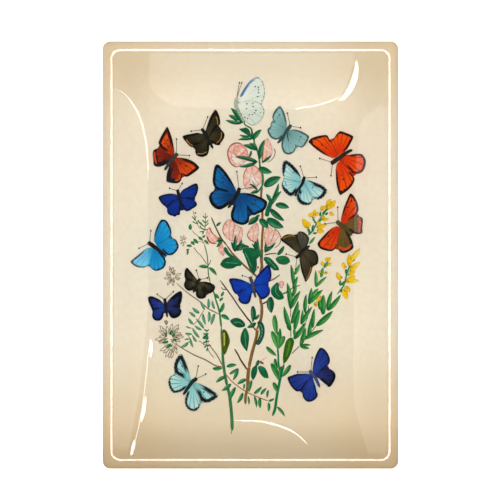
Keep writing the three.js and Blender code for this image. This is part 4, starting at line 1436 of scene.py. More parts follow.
RESTHARROW_LEAVES = Plant("restharrow_leaves", 0.1,
    leaves=(
        (GREEN, ((-5.6, 94.3, -14, 105, 4), (-6.5, 94.2, -17.6, 96.3, 2.8), (-9, 96, -15.5, 99.8, 3),
            (-1, 84.5, -8, 85.8, 1.8), (1, 82.8, -8.8, 82.2, 2.4), (1.5, 82.5, 7.8, 89.5, 3.6),
            (5, 75, -5.2, 78.5, 3.4), (6.5, 68.5, 10, 82.2, 3.8), (6, 62.5, 15.2, 59, 4.6),
            (10, 49, 21.5, 55.5, 6.2), (14.5, 36, 20, 51, 3), (14, 35, 22, 45.5, 3),
            (14.5, 38, 11.3, 43.5, 2.8), (18, 35.8, 27.5, 33.7, 4.4), (12, 26, 23.5, 19.7, 6.2),
            (6.5, 25.5, 12.5, 19, 4.8), (3.5, 26.5, 6.5, 28.8, 2.2), (-20.5, 10.5, -24.2, 5.7, 2.6),
            (-20.3, 11.3, -25.5, 10, 3.2), (-24.3, 20.5, -21, 23.3, 1.9))),
        (TEAL_DARK, ((5, 75.5, -0.8, 80, 2.2), (1.5, 83, 1.3, 90, 1.4), (5.5, 26.5, -1.5, 21.5, 4.2),
            (-12.5, 4, -1, 5.8, 4.4), (14, 33, 24, 24.5, 4.2), (1.5, -36.5, 1.5, -48, 3.8),
            (3, -46, 6.3, -42.5, 2.2), (3.8, -48.5, -2.3, -51.8, 3), (14.5, -30, 15, -41.3, 5.4),
            (5.8, -75, 3.5, -80, 2.4), (19.3, 0, 24, 6.5, 2.8), (11, -4.5, 12.5, -7, 2))),
        (MID_GREEN, ((8, -2, 1, 8, 3), (7, 0, 5.3, 12, 1.8))),
    ),
    patches=(
        (GREEN, LEAF, ((1, 83.2), (0.3, 86), (-0.8, 89), (-3, 91), (-5.3, 90.6), (-8.3, 90), (-8.3, 90),
            (-6.5, 88.3), (-3.2, 86.2))),
        (GREEN, LEAF, ((5.5, 1), (2.5, 4.5), (-1, 5.3), (-4.5, 4.5), (-5.7, 2.5), (-4.5, 0), (-3, -4),
            (-1.5, -8), (0.5, -12), (2.3, -14.3), (2.3, -14.3), (3.8, -11), (4.6, -7), (4.5, -3),
            (6, -1.5))),
        (GREEN, LEAF, ((10, -1.5), (13.5, -1.8), (16.5, -4.5), (19.5, -8), (20.5, -10.8), (20.5, -10.8),
            (17, -11), (14.5, -9), (12, -6), (9.5, -3.5))),
        (MID_GREEN, LEAF, ((18, -2.5), (21, -0.7), (25, -0.8), (27.5, -2.5), (28.3, -5), (28.3, -5),
            (25.5, -6.8), (22, -6.8), (19.5, -5.5))),
        (GREEN, LEAF, ((-5.8, -6), (-5.8, -6), (-8, -3.5), (-12, -1.7), (-16, -1.7), (-19.5, -3.3),
            (-21.8, -6.7), (-21.8, -6.7), (-20, -8.6), (-16.5, -9.9), (-12.5, -9.5), (-9.5, -8),
            (-7, -7.7))),
        (TEAL_DARK, LEAF, ((-14.5, -47), (-12, -45.2), (-9, -45), (-6, -46.5), (-4, -49), (-3.8, -50.8),
            (-3.8, -50.8), (-6.5, -51.8), (-10, -51.5), (-13, -49.5))),
        (GREEN, LEAF, ((-3.6, -52), (-1.8, -55), (-1, -59), (-1.5, -64), (-2.5, -69), (-2.5, -69),
            (-5, -66), (-7, -62), (-7, -58), (-5.5, -54))),
        (GREEN, LEAF, ((19, -19.5), (15, -23.5), (14.8, -27.5), (17, -30.5), (20, -32), (23, -31.5),
            (24, -30.3), (24, -30.3), (22.5, -27), (20.5, -24.5), (20.2, -21.5))),
        (GREEN, LEAF, ((4.5, -79), (4.8, -83), (3.5, -87), (1.8, -89.5), (1.8, -89.5), (0.5, -87),
            (0.5, -83), (2, -80))),
        (srgb(30, 140, 96), LEAF,
            ((5.5, -79.5), (9.5, -80), (12, -83.5), (13, -88), (13, -88), (9.5, -87.5), (6.5, -84))),
    ),
    over=(
        (STEM_GREEN, 0.7, 0.5, ((1.5, 80.5), (3, 79), (4.5, 77.5))),
        (TEAL_DARK, 3.2, 3.0, ((11.5, 27.5), (12.5, 32), (14, 36), (15, 40))),
        (TEAL_DARK, 0.6, 0.4, ((19, -3.3), (22, -4.2), (25, -4.2))),
        (TEAL_DARK, 0.8, 0.4, ((1, -4), (1.2, -6.5), (1, -9))),
        (SAGE, 0.6, 0.3, ((-4, 2), (-1.5, -3), (0.8, -9))),
        (SAGE, 0.5, 0.3, ((-18, -5.5), (-14, -5.6), (-9, -6.2))),
        (SAGE, 0.5, 0.3, ((-12, -48.5), (-8.5, -48), (-5.5, -49.8))),
        (SAGE, 0.5, 0.3, ((-4.2, -55), (-3.8, -60), (-3.2, -66))),
        (SAGE, 0.5, 0.3, ((12, -3), (15, -6), (18.5, -9.6))),
        (SAGE, 0.5, 0.3, ((18.5, -22), (17.8, -26), (20.5, -29.8))),
    ))

RESTHARROW_UPPER_FLOWERS = Plant("restharrow_upper_flowers", 0.22,
    patches=(
        (PINK, PETAL, ((-2, 71), (-2.2, 74.5), (-5, 78.4), (-9.5, 80), (-13.5, 78.5), (-16, 74.5),
            (-16.2, 70), (-14.5, 65.8), (-11.5, 63), (-8.5, 63), (-6, 64.5), (-4, 66.5), (-1.5, 68))),
        (WHITE_PINK, PETAL, ((-13.5, 72.5), (-12, 72.3), (-8, 69), (-4, 66.5), (-6, 64.6), (-9, 64),
            (-12, 66), (-13.5, 69))),
        (ROSE, PETAL, ((-1.5, 69.3), (-1.8, 72.5), (-5, 77.5), (-9, 78.3), (-12, 76), (-12.5, 73.8),
            (-10, 71), (-6.5, 69))),
        (PINK, PETAL, ((8.8, 69), (9, 74), (10, 80), (11.8, 83.5), (13, 82), (15, 78.5), (15.6, 75),
            (15.2, 71.5), (12, 69.5))),
        (PINK, PETAL, ((-2.5, 46.8), (-2.5, 46.8), (-4.9, 50), (-5.2, 54.5), (-4.3, 59), (-2, 63),
            (1, 64.2), (4.5, 62.5), (7, 59), (8.3, 55), (7.6, 52), (6, 50), (6, 50), (2, 47.5))),
        (WHITE_PINK, PETAL,
            ((0, 48.5), (-0.5, 52), (-0.3, 56), (1, 58.3), (2.5, 57), (4, 53), (5.5, 50))),
    ),
    over=(
        (BROWN_PINK, 0.9, 0.9, ((-6, 79), (-9.5, 80), (-13.3, 78.8), (-15.9, 75), (-16, 70.5),
            (-14.3, 66), (-11.8, 63.5), (-9, 62.8))),
        (BROWN_PINK, 0.7, 0.4, ((16.8, 76), (17.6, 73.5), (16.8, 70), (14.5, 67.5), (12, 66.2))),
        (BROWN_PINK, 0.6, 0.4, ((-5.1, 54.5), (-4.3, 59), (-2, 63), (1, 64.2), (4.5, 62.5), (7, 59))),
        (BROWN_PINK, 0.6, 0.4, ((1.2, 53), (2.3, 51.3), (3.5, 49.5))),
        (BROWN_PINK, 0.5, 0.3, ((-11, 70.4), (-7.5, 71), (-4, 74))),
        (STEM_BROWN, 0.8, 0.6, ((8.3, 66.5), (8.8, 72), (9.3, 78))),
        (STEM_GREEN, 1.2, 1.2, ((8, 60), (9, 55), (8.5, 50), (6, 46), (3.5, 44))),
    ),
    top_leaves=(
        (TEAL_DARK, ((5, 66.3, -10.5, 69.9, 3), (4, 66, -8, 63, 2.6), (8, 66, 14.9, 71.2, 2),
            (0.5, 74.5, -1, 69.5, 1.6), (5, 46.5, -0.5, 50.8, 1.9), (5, 46, 0, 44.3, 2.2))),
    ), dots=((ROSE, ((13.5, 76, 1), (13.8, 73.8, 1), (11.6, 77.4, 1.2), (11.4, 73.6, 1.2))),))

RESTHARROW_LOWER_FLOWERS = Plant("restharrow_lower_flowers", 0.28,
    patches=(
        (PINK, PETAL, ((-12.6, 9.7), (-12.6, 9.7), (-15.5, 10.8), (-18.5, 13.5), (-20, 17), (-19.3, 21),
            (-17, 24.5), (-14.8, 25.5), (-12.3, 24), (-10.8, 21.5), (-11.8, 19.5), (-12.3, 16))),
        (PALE_PINK, PETAL, ((-9.8, 8.5), (-9.8, 8.5), (-12, 13), (-12, 18), (-10.8, 21.5), (-8.5, 20.5),
            (-7, 19.5), (-8, 16), (-9.2, 12))),
        (PINK, PETAL, ((-9.8, 8.5), (-9.8, 8.5), (-9.2, 12), (-8, 16), (-7, 19.5), (-6.3, 19.8),
            (-5.4, 16.5), (-5.8, 13), (-7.5, 10))),
        (PINK, PETAL, ((3.5, 8), (3.5, 8), (1.5, 9.5), (-1, 11.5), (-2.2, 14), (-1, 17.5), (1, 20.5),
            (4.3, 22.8), (5.8, 20.5), (5.7, 16), (5, 11))),
        (PINK, PETAL, ((10.8, 6), (10.8, 6), (10, 10), (9.8, 15), (11, 18.5), (13.5, 20), (15.5, 18.3),
            (16.8, 15), (15, 10), (13, 7))),
        (PALE_PINK, PETAL,
            ((14, 7), (17, 9), (19.5, 12), (20.8, 15), (19.5, 17.3), (17, 18), (16.8, 14.5))),
        (ROSE, PETAL, ((-19, -0.8), (-19, -0.8), (-21.5, 1), (-23, 4), (-21.8, 7), (-20.3, 8.5),
            (-19.3, 5), (-18.5, 2))),
        (PINK, PETAL, ((-24.5, 9.3), (-24.5, 9.3), (-28, 8.5), (-30.3, 10.8), (-31.5, 14), (-31, 17.5),
            (-29.3, 19.5), (-27.8, 16.5), (-25.5, 14), (-23, 12))),
        (ROSE, PETAL, ((20.3, -21.5), (21, -19), (22.5, -18.7), (24, -19.8), (23.5, -22), (22, -23.8))),
    ),
    over=(
        (BROWN_PINK, 0.7, 0.5, ((2.5, 9.5), (-0.5, 11), (-2.2, 14), (-0.8, 17.7))),
        (BROWN_PINK, 0.6, 0.5, ((16.8, 18.8), (19.5, 17), (21.3, 13.5), (21.5, 10), (20, 7), (17, 4.8))),
        (BROWN_PINK, 0.9, 0.5, ((-29.3, 19.8), (-27.5, 16), (-24.5, 13), (-21, 11))),
        (BROWN_PINK, 1.4, 0.7, ((-31, 13), (-29.5, 9.7), (-26.5, 8.2), (-24.3, 8.5))),
        (BROWN_PINK, 0.5, 0.4, ((-18.4, 13.8), (-19.8, 17), (-19.2, 21), (-17, 24.4))),
        (ROSE, 0.7, 0.4, ((-14.5, 12), (-15.3, 17), (-14, 22))),
        (ROSE, 0.7, 0.4, ((2, 11), (2, 15), (3.8, 20))),
        (ROSE, 0.7, 0.4, ((12, 8.5), (12.2, 13), (13.4, 17.5))),
        (ROSE, 0.6, 0.4, ((-27.5, 10), (-29, 13), (-29.3, 17))),
        (BARK_BROWN, 0.9, 0.6, ((10, 0), (14.5, 0.9), (19, 1.2))),
        (TEAL_DARK, 2.6, 1.8, ((-18.5, 5.5), (-16, 1), (-10, -3.5), (-6, -6.3))),
        (BROWN_PINK, 2.2, 1.2, ((6.5, -76), (8, -77), (9.5, -77.5))),
        (PALE_PINK, 1.6, 0.8, ((8, -75), (9.8, -74.2), (11.5, -73))),
    ),
    top_leaves=(
        (TEAL_DARK, ((-11, 2.5, -13.8, 9.3, 2.6), (-10.8, 2.5, -10.3, 14.3, 2.4), (-10, 3, -6.3, 11, 2.4),
            (-9.5, 3.5, -4.8, 8.3, 2.2), (3.5, 4, 3.3, 10, 2.6), (5, 4, 5.5, 11, 1.8), (10, 2, 18, 9, 2),
            (10.3, 4, 16.5, 5.8, 2), (10.4, 2, 10.7, 9, 2))),
    ), dots=((ROSE, ((16.8, 15.5, 1.2), (13.2, 13, 1.1), (-8.4, 14, 1))),))

CATERPILLARS = Plant("caterpillars", 0.32,
    stems=((srgb(20, 84, 62), 3.6, 3.2, ((5.5, -47.5), (8, -51), (8.3, -56), (6.8, -60.5), (4.5, -64))),),
    patches=(
        (srgb(88, 104, 26), BODY, ((-20, -54), (-17.5, -54), (-15.5, -58), (-14.8, -62), (-16, -66),
            (-18, -70.5), (-20, -68), (-20.6, -62))),
        (MOSS, BODY, ((28.5, -59), (30.5, -60), (31, -62.5), (30, -66.5), (28.5, -71), (26, -75.5),
            (23.5, -78), (23.5, -78), (23.2, -73), (24, -67), (25.5, -61.5))),
    ),
    over=(
        (srgb(70, 138, 116), 1.0, 0.7, ((6.6, -49.2), (8.1, -52.5), (8.2, -56), (6.9, -60))),
        (srgb(204, 198, 84), 1.2, 0.9, ((-18.9, -55.5), (-18.7, -60), (-18.8, -65))),
        (srgb(56, 70, 14), 1.0, 0.8, ((-17.2, -55.5), (-16.8, -60), (-17.3, -66))),
        (srgb(150, 118, 44), 0.7, 0.5, ((-20.1, -56), (-20.6, -61), (-20.2, -66.5))),
        (srgb(90, 146, 30), 1.6, 0.9, ((28, -61.5), (27.4, -66), (25.6, -73))),
        (srgb(30, 66, 20), 0.6, 0.5, ((30.4, -61), (29.8, -66), (27.5, -72.5), (24, -77.5))),
    ),
    dots=(
        (srgb(150, 196, 176), ((7.6, -50.5, 0.6), (8.4, -53, 0.6), (8.2, -55.6, 0.6), (7.6, -58, 0.6),
            (6.4, -60.6, 0.6), (5.3, -62.6, 0.6))),
        (srgb(90, 60, 24),
            ((-19, -53.8, 1.4), (-18.5, -70.5, 1.2), (-18.8, -57.5, 0.5), (-18.7, -61.5, 0.5))),
    ))

VETCH = Plant("vetch", 0.06,
    stems=(
        (STEM_GREEN, 0.7, 0.9,
            ((-33, 8), (-32, 4), (-31, 0), (-30.5, -5), (-30.3, -9), (-30, -14), (-28.8, -19.5))),
        (STEM_GREEN, 0.9, 1.5, ((-28.8, -19.5), (-25.8, -28), (-24.5, -33), (-23, -37.5), (-22, -42),
            (-21.5, -46), (-20.8, -52))),
        (STEM_GREEN, 1.5, 2.2, ((-20.8, -52), (-20.5, -60), (-20, -66), (-19.7, -74), (-18.8, -82),
            (-17.8, -88), (-16.5, -94))),
        (STEM_GREEN, 2.2, 2.4,
            ((-16.5, -94), (-15, -100), (-14.3, -106), (-13.6, -113), (-13.2, -120), (-13, -125.5))),
        (SEPIA, 0.9, 0.4, ((-13.4, -125.5), (-13.6, -128))),
        (SEPIA, 0.6, 0.6, ((-30, -7.5), (-28.7, -5), (-28.4, -3.5))),
        (SEPIA, 0.6, 0.6, ((-40.5, 5.5), (-38, 2), (-35, -1), (-31, -7))),
        (SEPIA, 0.6, 0.9,
            ((-53, -20), (-45, -27), (-38, -32), (-33, -36), (-30, -38.5), (-25, -41), (-22.5, -42.5))),
        (SEPIA, 0.7, 0.9, ((-29, -65), (-25, -70), (-22, -75), (-19.8, -79.5))),
        (SEPIA, 0.7, 1.0, ((-53, -64), (-48, -67), (-40, -71.5), (-32, -75), (-25, -79), (-19.5, -80))),
        (SEPIA, 0.5, 0.5, ((-33, -39), (-35.5, -43), (-37, -46), (-41, -50))),
        (SEPIA, 0.5, 0.5, ((-45, -57), (-42.5, -61), (-46, -63), (-50, -66))),
        (BROWN_PINK, 0.7, 0.7, ((-18, -84.5), (-14, -89.5), (-10, -93), (-5, -96.5), (-1, -98.8),
            (4, -101), (9, -103), (13, -104.5))),
        (SEPIA, 0.5, 0.5, ((-38.8, -10.5), (-38, -13))),
        (SEPIA, 0.5, 0.4, ((-32, -16.8), (-29.5, -15.5))),
        (STEM_GREEN, 0.5, 0.5, ((-31.3, -53.4), (-32, -59), (-31, -65), (-29.2, -69.6), (-26, -73.6))),
        (SEPIA, 0.5, 0.4, ((-36, -61.5), (-33, -64), (-30, -63.5), (-28.5, -65))),
    ),
    leaves=(
        (SAGE, ((-33, -39, -36, -33, 2.1), (-36.5, -41.5, -41.5, -37.5, 2.4), (-30, -38, -30.2, -31, 2.2),
            (-25.7, -38.5, -27.3, -32.5, 2), (-39.5, -44.3, -44, -40.7, 2), (-41, -49.5, -44.3, -45, 2.1),
            (-33.5, -52.5, -39, -45.5, 2.1), (-35, -53.5, -40, -50.3, 1.8), (-46, -51, -42, -52.4, 1.1),
            (-36.5, -59, -41.5, -52, 2), (-46.5, -56, -41.5, -56.5, 1.8), (-38.5, -62, -41.5, -57, 1.7),
            (-43, -60, -41, -66, 1.8), (-44.5, -62.5, -49, -66, 2.2), (-34, -42, -32, -50, 2.1),
            (-29.7, -40.5, -30, -48, 2.2), (-25.5, -42, -28, -50, 2.5), (-47, -60.5, -43, -60, 1.2))),
        (MID_GREEN, ((-30.5, -8.7, -37, -8.3, 2.6), (-29.5, -9, -24.2, -14.5, 2.5),
            (-21.8, -41, -19, -34, 2.7), (-21, -43, -15.2, -46.3, 3), (-27, -81, -20, -80.8, 2.6),
            (-17, -79.8, -10, -78.5, 2.7), (-15, -85, -9.5, -81, 2), (-9, -81, -12.5, -89.5, 2.6),
            (-18, -86.8, -24.5, -91, 2.8), (-14, -92, -20.5, -97, 2.8),
            (-10.7, -94.5, -14.5, -103.5, 2.8), (-5.5, -98.5, -9.5, -106, 2.6),
            (-3, -88.8, -9.3, -92.3, 2.8), (-4.5, -92, -5, -96, 1.4), (1, -89.5, -1, -97.8, 2.5),
            (-1.8, -101, -1.2, -107, 1.6), (2.5, -99, 8, -94, 2.4), (7.5, -99.8, 11.5, -95, 2.1),
            (12.7, -96.5, 12, -102, 1.8), (2.7, -101, 4.3, -109, 2), (6.8, -102, 7, -109.5, 2.6),
            (12.9, -105.5, 12.8, -112, 2.1), (13, -104.5, 17, -102.5, 1.7),
            (19, -108.5, 24.5, -115.5, 2.1), (-31.4, -54.5, -33.2, -53, 1.1),
            (-31.2, -54.6, -29.6, -53.2, 1.1), (-31.8, -57, -34, -56, 1.2),
            (-31.8, -57, -29.8, -55.8, 1.2), (-32, -59.5, -34.4, -59.6, 1.3),
            (-32, -59.5, -29.6, -58.8, 1.3), (-31.8, -62, -34, -63.2, 1.2),
            (-31.6, -62, -29.2, -61.8, 1.2), (-31.2, -64.6, -33.2, -66.4, 1.2),
            (-31, -64.6, -28.8, -65, 1.2), (-30.6, -66.4, -31.2, -69, 1.1), (-22.5, -31, -25, -27.5, 2),
            (-21, -29.5, -19.2, -26, 1.8), (-22, -33, -19.5, -30.5, 1.8))),
    ),
    dots=(
        (TEAL_DARK, ((-32.8, -58.2, 1.6), (-31.2, -57.6, 1.8), (-30.8, -59.8, 1.5), (-33.6, -58.9, 1),
            (-31.6, -61, 1))),
        (SEPIA, ((-36.5, -61.7, 0.8), (-33.4, -63.8, 0.8), (-28.6, -64.8, 1))),
    ))

HEDGE_SPRAYS = Plant("hedge_sprays", 0.03,
    stems=(
        (SEPIA, 0.4, 0.5, ((-42, 18), (-40, 15.5), (-36.5, 12.5), (-33, 8.5))),
        (SEPIA, 0.5, 0.5, ((-32.2, 29), (-32.2, 26), (-32.4, 20), (-34, 14.5))),
        (STEM_GREEN, 0.9, 0.6, ((-34, 28), (-32.2, 26.5), (-30.5, 28))),
        (STEM_GREEN, 1.0, 0.6, ((-34.5, 25), (-32.2, 23), (-30, 25))),
        (STEM_GREEN, 1.0, 0.6, ((-36, 23.5), (-33, 20.5), (-29.8, 23))),
        (STEM_GREEN, 1.0, 0.6, ((-37.5, 25), (-36, 22.5), (-34, 21))),
        (STEM_GREEN, 1.0, 0.7, ((-36, 21), (-35, 19), (-32, 18), (-30, 18.5))),
        (STEM_GREEN, 0.9, 0.6, ((-36.5, 16.5), (-33, 17))),
        (STEM_GREEN, 0.8, 0.6, ((-34.3, 17), (-34, 14.5))),
        (SEPIA, 0.5, 0.4, ((-41, 31.5), (-40, 27.5), (-38.5, 23.5), (-36.2, 18.5))),
        (STEM_GREEN, 0.9, 0.6, ((-41.8, 27.5), (-40, 26), (-38.6, 27.8))),
        (STEM_GREEN, 0.9, 0.6, ((-41.4, 24), (-39, 22.7), (-37.4, 24))),
        (SEPIA, 0.4, 0.4, ((-45.5, 6), (-41, 8.6), (-36, 9.6), (-33, 8))),
    ),
    leaves=(
        (MID_GREEN, ((-37, 13, -34, 10.5, 2), (-33, 10.5, -30, 7.5, 1.8), (-40.5, 11.5, -37.3, 8.3, 2.4),
            (-42.5, 9.5, -40, 7, 2), (-45.5, 7, -41.5, 6.3, 1.8), (-46, 3.5, -43.5, 3.8, 1.3),
            (-44.5, 3.5, -45, 0, 1.6), (-42.8, 18, -42.8, 22.2, 2.4), (-34.5, 12.5, -32.2, 14.2, 1.5))),
    ), dots=((STEM_GREEN, ((-39.3, 30, 1.4), (-40, 25.2, 1.2), (-38, 22.5, 1.2), (-32.2, 29.3, 0.9))),))


def flower_head(
    name: str, centre: Point, tips: tuple[Point, ...], inner: float, width: float,
    leaves: tuple[BladeRow, ...] = (),
) -> Plant:
    """Makes a ragged clover head of sepia strokes that run out from its middle.

    Args:
        name: the piece's name.
        centre: the head's middle.
        tips: where the strokes end.
        inner: share of the way out at which the strokes start.
        width: a stroke's width.
        leaves: green sepals.
    Returns:
        The head, ready to build.
    """
    strokes = []
    for x, y in tips:
        run = (x - centre[0], y - centre[1])
        start = (centre[0] + run[0] * inner, centre[1] + run[1] * inner)
        for sway in HEAD_SWAYS:
            middle = (
                centre[0] + run[0] * HEAD_KNEE - run[1] * sway,
                centre[1] + run[1] * HEAD_KNEE + run[0] * sway,
            )
            strokes.append((SEPIA, width * 0.7, width, (start, middle, (x, y))))
    sepals = ((MID_GREEN, leaves),) if leaves else ()
    return Plant(name, HEAD_LEVEL, stems=tuple(strokes), top_leaves=sepals)


CLOVER_HEADS = (
    flower_head("clover_head_upper", (-55.5, -15), ((-58, -8), (-60.5, -14), (-60.3, -12), (-54, -10.5),
        (-53.8, -13), (-49.3, -13.3), (-50, -17), (-51, -18), (-59.5, -21.5), (-57.8, -20), (-55.5, -22),
        (-59.5, -17.3), (-56, -11.5), (-62, -17), (-54.5, -20), (-57.5, -9.5), (-55.5, -8.5)), 0.25,
        0.42),
    flower_head("clover_head_small", (-48, 10),
        ((-50, 13.5), (-47.5, 14), (-45.8, 12.5), (-46, 8.5), (-49.8, 8), (-48, 6.2), (-50.2, 10.5)), 0.2,
        0.35),
    flower_head("clover_head_lower", (-58, -59), ((-65, -50.5), (-65.5, -54), (-65.5, -58),
        (-68.5, -60.5), (-65.5, -63), (-61.5, -65.5), (-60, -50.5), (-55.8, -49), (-51.2, -49.5),
        (-53.5, -54), (-49.5, -55.5), (-47.5, -58.5), (-50, -62), (-53, -67), (-63, -52), (-63.8, -56),
        (-66, -61.8), (-51, -52), (-48.5, -57), (-50.8, -60), (-52.3, -64), (-57.2, -52), (-62.2, -60.8),
        (-55, -62.5)), 0.3, 0.42, ((-57.8, -57, -56, -53.5, 2), (-55.6, -58.6, -54, -55.8, 2),
        (-59, -62, -63.4, -63, 1.8), (-57, -63.4, -60.5, -66, 2.2), (-55.4, -60, -52.6, -61, 1.6),
        (-56, -65.2, -58.6, -63.5, 1.8), (-60.4, -58.6, -60.6, -55, 1.4))),
    flower_head("clover_skirt", (-55.5, -64), ((-61, -73), (-62.5, -70), (-56.5, -74), (-52.5, -70.5),
        (-58.5, -73.8), (-55.5, -70), (-65, -68.5), (-52.3, -67.5)), 0.3, 0.42),
    flower_head("clover_bud", (-60.4, -50),
        ((-61.4, -46.8), (-60.3, -46.4), (-59.2, -47.4), (-59.6, -49)), 0.1, 0.5),
)

BROOM_PLANT = Plant("broom", 0.12,
    stems=(
        (GREEN, 2.0, 1.8, ((15.7, -115), (17.5, -110), (18.5, -103), (19.3, -98), (20.5, -92),
            (21.5, -87), (22.5, -83), (24, -78))),
        (GREEN, 1.2, 1.5, ((19.3, -66), (19.8, -71.5), (20, -77), (21, -84))),
        (MID_GREEN, 2.0, 1.6, ((31, -60), (33, -56), (36, -53), (38.5, -49))),
        (SEPIA, 0.7, 0.7, ((29.5, -70.5), (32.5, -67.5), (35, -65))),
        (SEPIA, 0.7, 0.7, ((28.7, -58.5), (28.9, -56), (28.6, -53))),
        (SEPIA, 0.6, 0.6, ((28.5, -44.5), (28.6, -41), (28.8, -38))),
        (STEM_GREEN, 0.8, 0.7, ((24, -27.5), (27, -25.5), (31, -23.2), (35.5, -21.5))),
        (STEM_GREEN, 0.6, 0.6, ((42, -57), (44.5, -53.5), (46.5, -51), (50, -46))),
        (STEM_GREEN, 0.6, 0.6, ((39.5, -48), (41, -43), (41.4, -36))),
    ),
    leaves=(
        (BROOM, ((28.5, -54, 25.6, -50.6, 1.8), (28.8, -53.8, 24, -36.8, 3.6), (29.3, -49, 34, -33, 3.8),
            (31.5, -53.5, 35.3, -39, 3.4), (31.3, -60, 39.4, -48.2, 3.4), (31.8, -59, 31.4, -51, 2),
            (36, -49.5, 37.2, -39, 2.1), (36.3, -49.5, 44, -37, 3), (40.8, -58.5, 43.4, -44.8, 2.8),
            (44.4, -52, 45.6, -38.5, 2.9), (47, -50.5, 58.7, -40, 4.2), (38, -60.3, 52, -53.6, 3.2),
            (35.6, -64.6, 39.2, -52, 3.4), (35.3, -64.8, 43, -64.3, 2), (35.5, -65.2, 42, -66.7, 2.2),
            (52, -42.5, 52.2, -28.5, 4.6), (49.6, -39, 48.8, -31, 3), (55, -39.5, 58.3, -26, 3.2),
            (55.3, -39.5, 64.5, -28.5, 3.4), (39, -41.5, 39.8, -28, 2.8), (41.5, -35, 43.5, -23.5, 3),
            (41.5, -35, 51.5, -25, 3.6), (28.7, -38.6, 26.2, -20, 3.8), (28.9, -38, 35.5, -25.8, 3.4),
            (30, -30, 32.5, -20, 2.7), (30.5, -24, 33.7, -15.5, 2.8), (30.5, -21, 28.8, -7, 2.8),
            (14.8, -77.5, 20.6, -90, 3.8), (22, -79.5, 20.8, -89, 2.4), (28.5, -78.5, 22.6, -87, 3.2),
            (17.5, -74, 19.2, -83, 2.6), (16.2, -91, 19.5, -98.5, 3.2), (11.3, -65.5, 18.6, -72, 2.8),
            (21, -52.5, 20.4, -65, 2.2), (37.8, -60, 35.8, -64.5, 2))),
        (LIGHT_BROOM, ((17.2, -43, 18.9, -57, 3.8), (15.2, -54.5, 19.4, -67, 4),
            (24.3, -58, 20, -67, 3.8), (19.8, -54.8, 20, -66, 2.6), (31.5, -14, 35, -6.5, 2.5),
            (44, -30, 48.5, -24, 3), (46.5, -22.5, 46.4, -11, 2.5), (46.7, -22.8, 54.5, -15.5, 2.3),
            (42, 8, 46, 13, 1.9), (50.5, -16, 52, -9, 2.6), (52.5, -9, 55.5, -4.5, 2.4))),
    ), bend=0.03)

BROOM_UPPER_FLOWERS = Plant("broom_upper_flowers", 0.2,
    stems=(
        (MID_GREEN, 1.2, 1.0, ((41, 14), (44, 17), (47, 22), (51, 27.5), (55, 33))),
        (MID_GREEN, 1.4, 1.0, ((44.5, 26.5), (46.5, 23), (50, 24.5), (51, 27))),
    ),
    petals=(
        (YELLOW, ((54, 33.5, 60.8, 38.8, 3.4), (54.5, 35.5, 57.8, 40, 2), (50.5, 31.5, 50.8, 35.5, 1.7),
            (51.6, 32, 54, 35.4, 1.8), (56.5, 30.5, 59.8, 28.3, 1.9), (50.6, 26, 53.6, 26.6, 2.6),
            (51.5, 25, 56, 26, 1.6), (46, 28, 46, 32.5, 2), (45.5, 28.5, 41, 28.2, 2.3),
            (46.4, 28, 48.8, 30.2, 2), (47, 20, 54.5, 21.8, 2.2), (47.5, 17.5, 52.5, 16.5, 2.8),
            (40.5, 19, 37, 25.8, 3), (41, 19.5, 42, 23.5, 2.6), (47.4, 24, 50.4, 21.6, 1.8),
            (56.6, 34.8, 60.4, 34.9, 1.6))),
    ),
    leaves=(
        (MID_GREEN, ((53.4, 31.6, 56.2, 34.4, 1.8), (53.6, 28.4, 55.5, 30.4, 1.6),
            (49.6, 27.4, 49.9, 31.2, 1.6), (44.8, 16.8, 44.8, 21.6, 2.1), (44.5, 15.5, 47.8, 15.9, 1.5),
            (41, 19, 42.3, 14.3, 1.9), (44.4, 26.4, 43.4, 29, 1.4), (51.5, 29.2, 53.6, 31.8, 1.5))),
    ),
    dots=(
        (OCHRE, ((55.4, 35.8, 1.3), (57.4, 37, 1), (51.8, 26, 1.1), (46.2, 28.6, 1.2), (41.2, 19.6, 1.4),
            (48, 17.4, 1.2), (47.9, 20.4, 1), (50.7, 32, 1))),
        (OLIVE, ((54.6, 34.4, 1), (45.8, 27, 0.9), (40.8, 18, 1))),
    ))

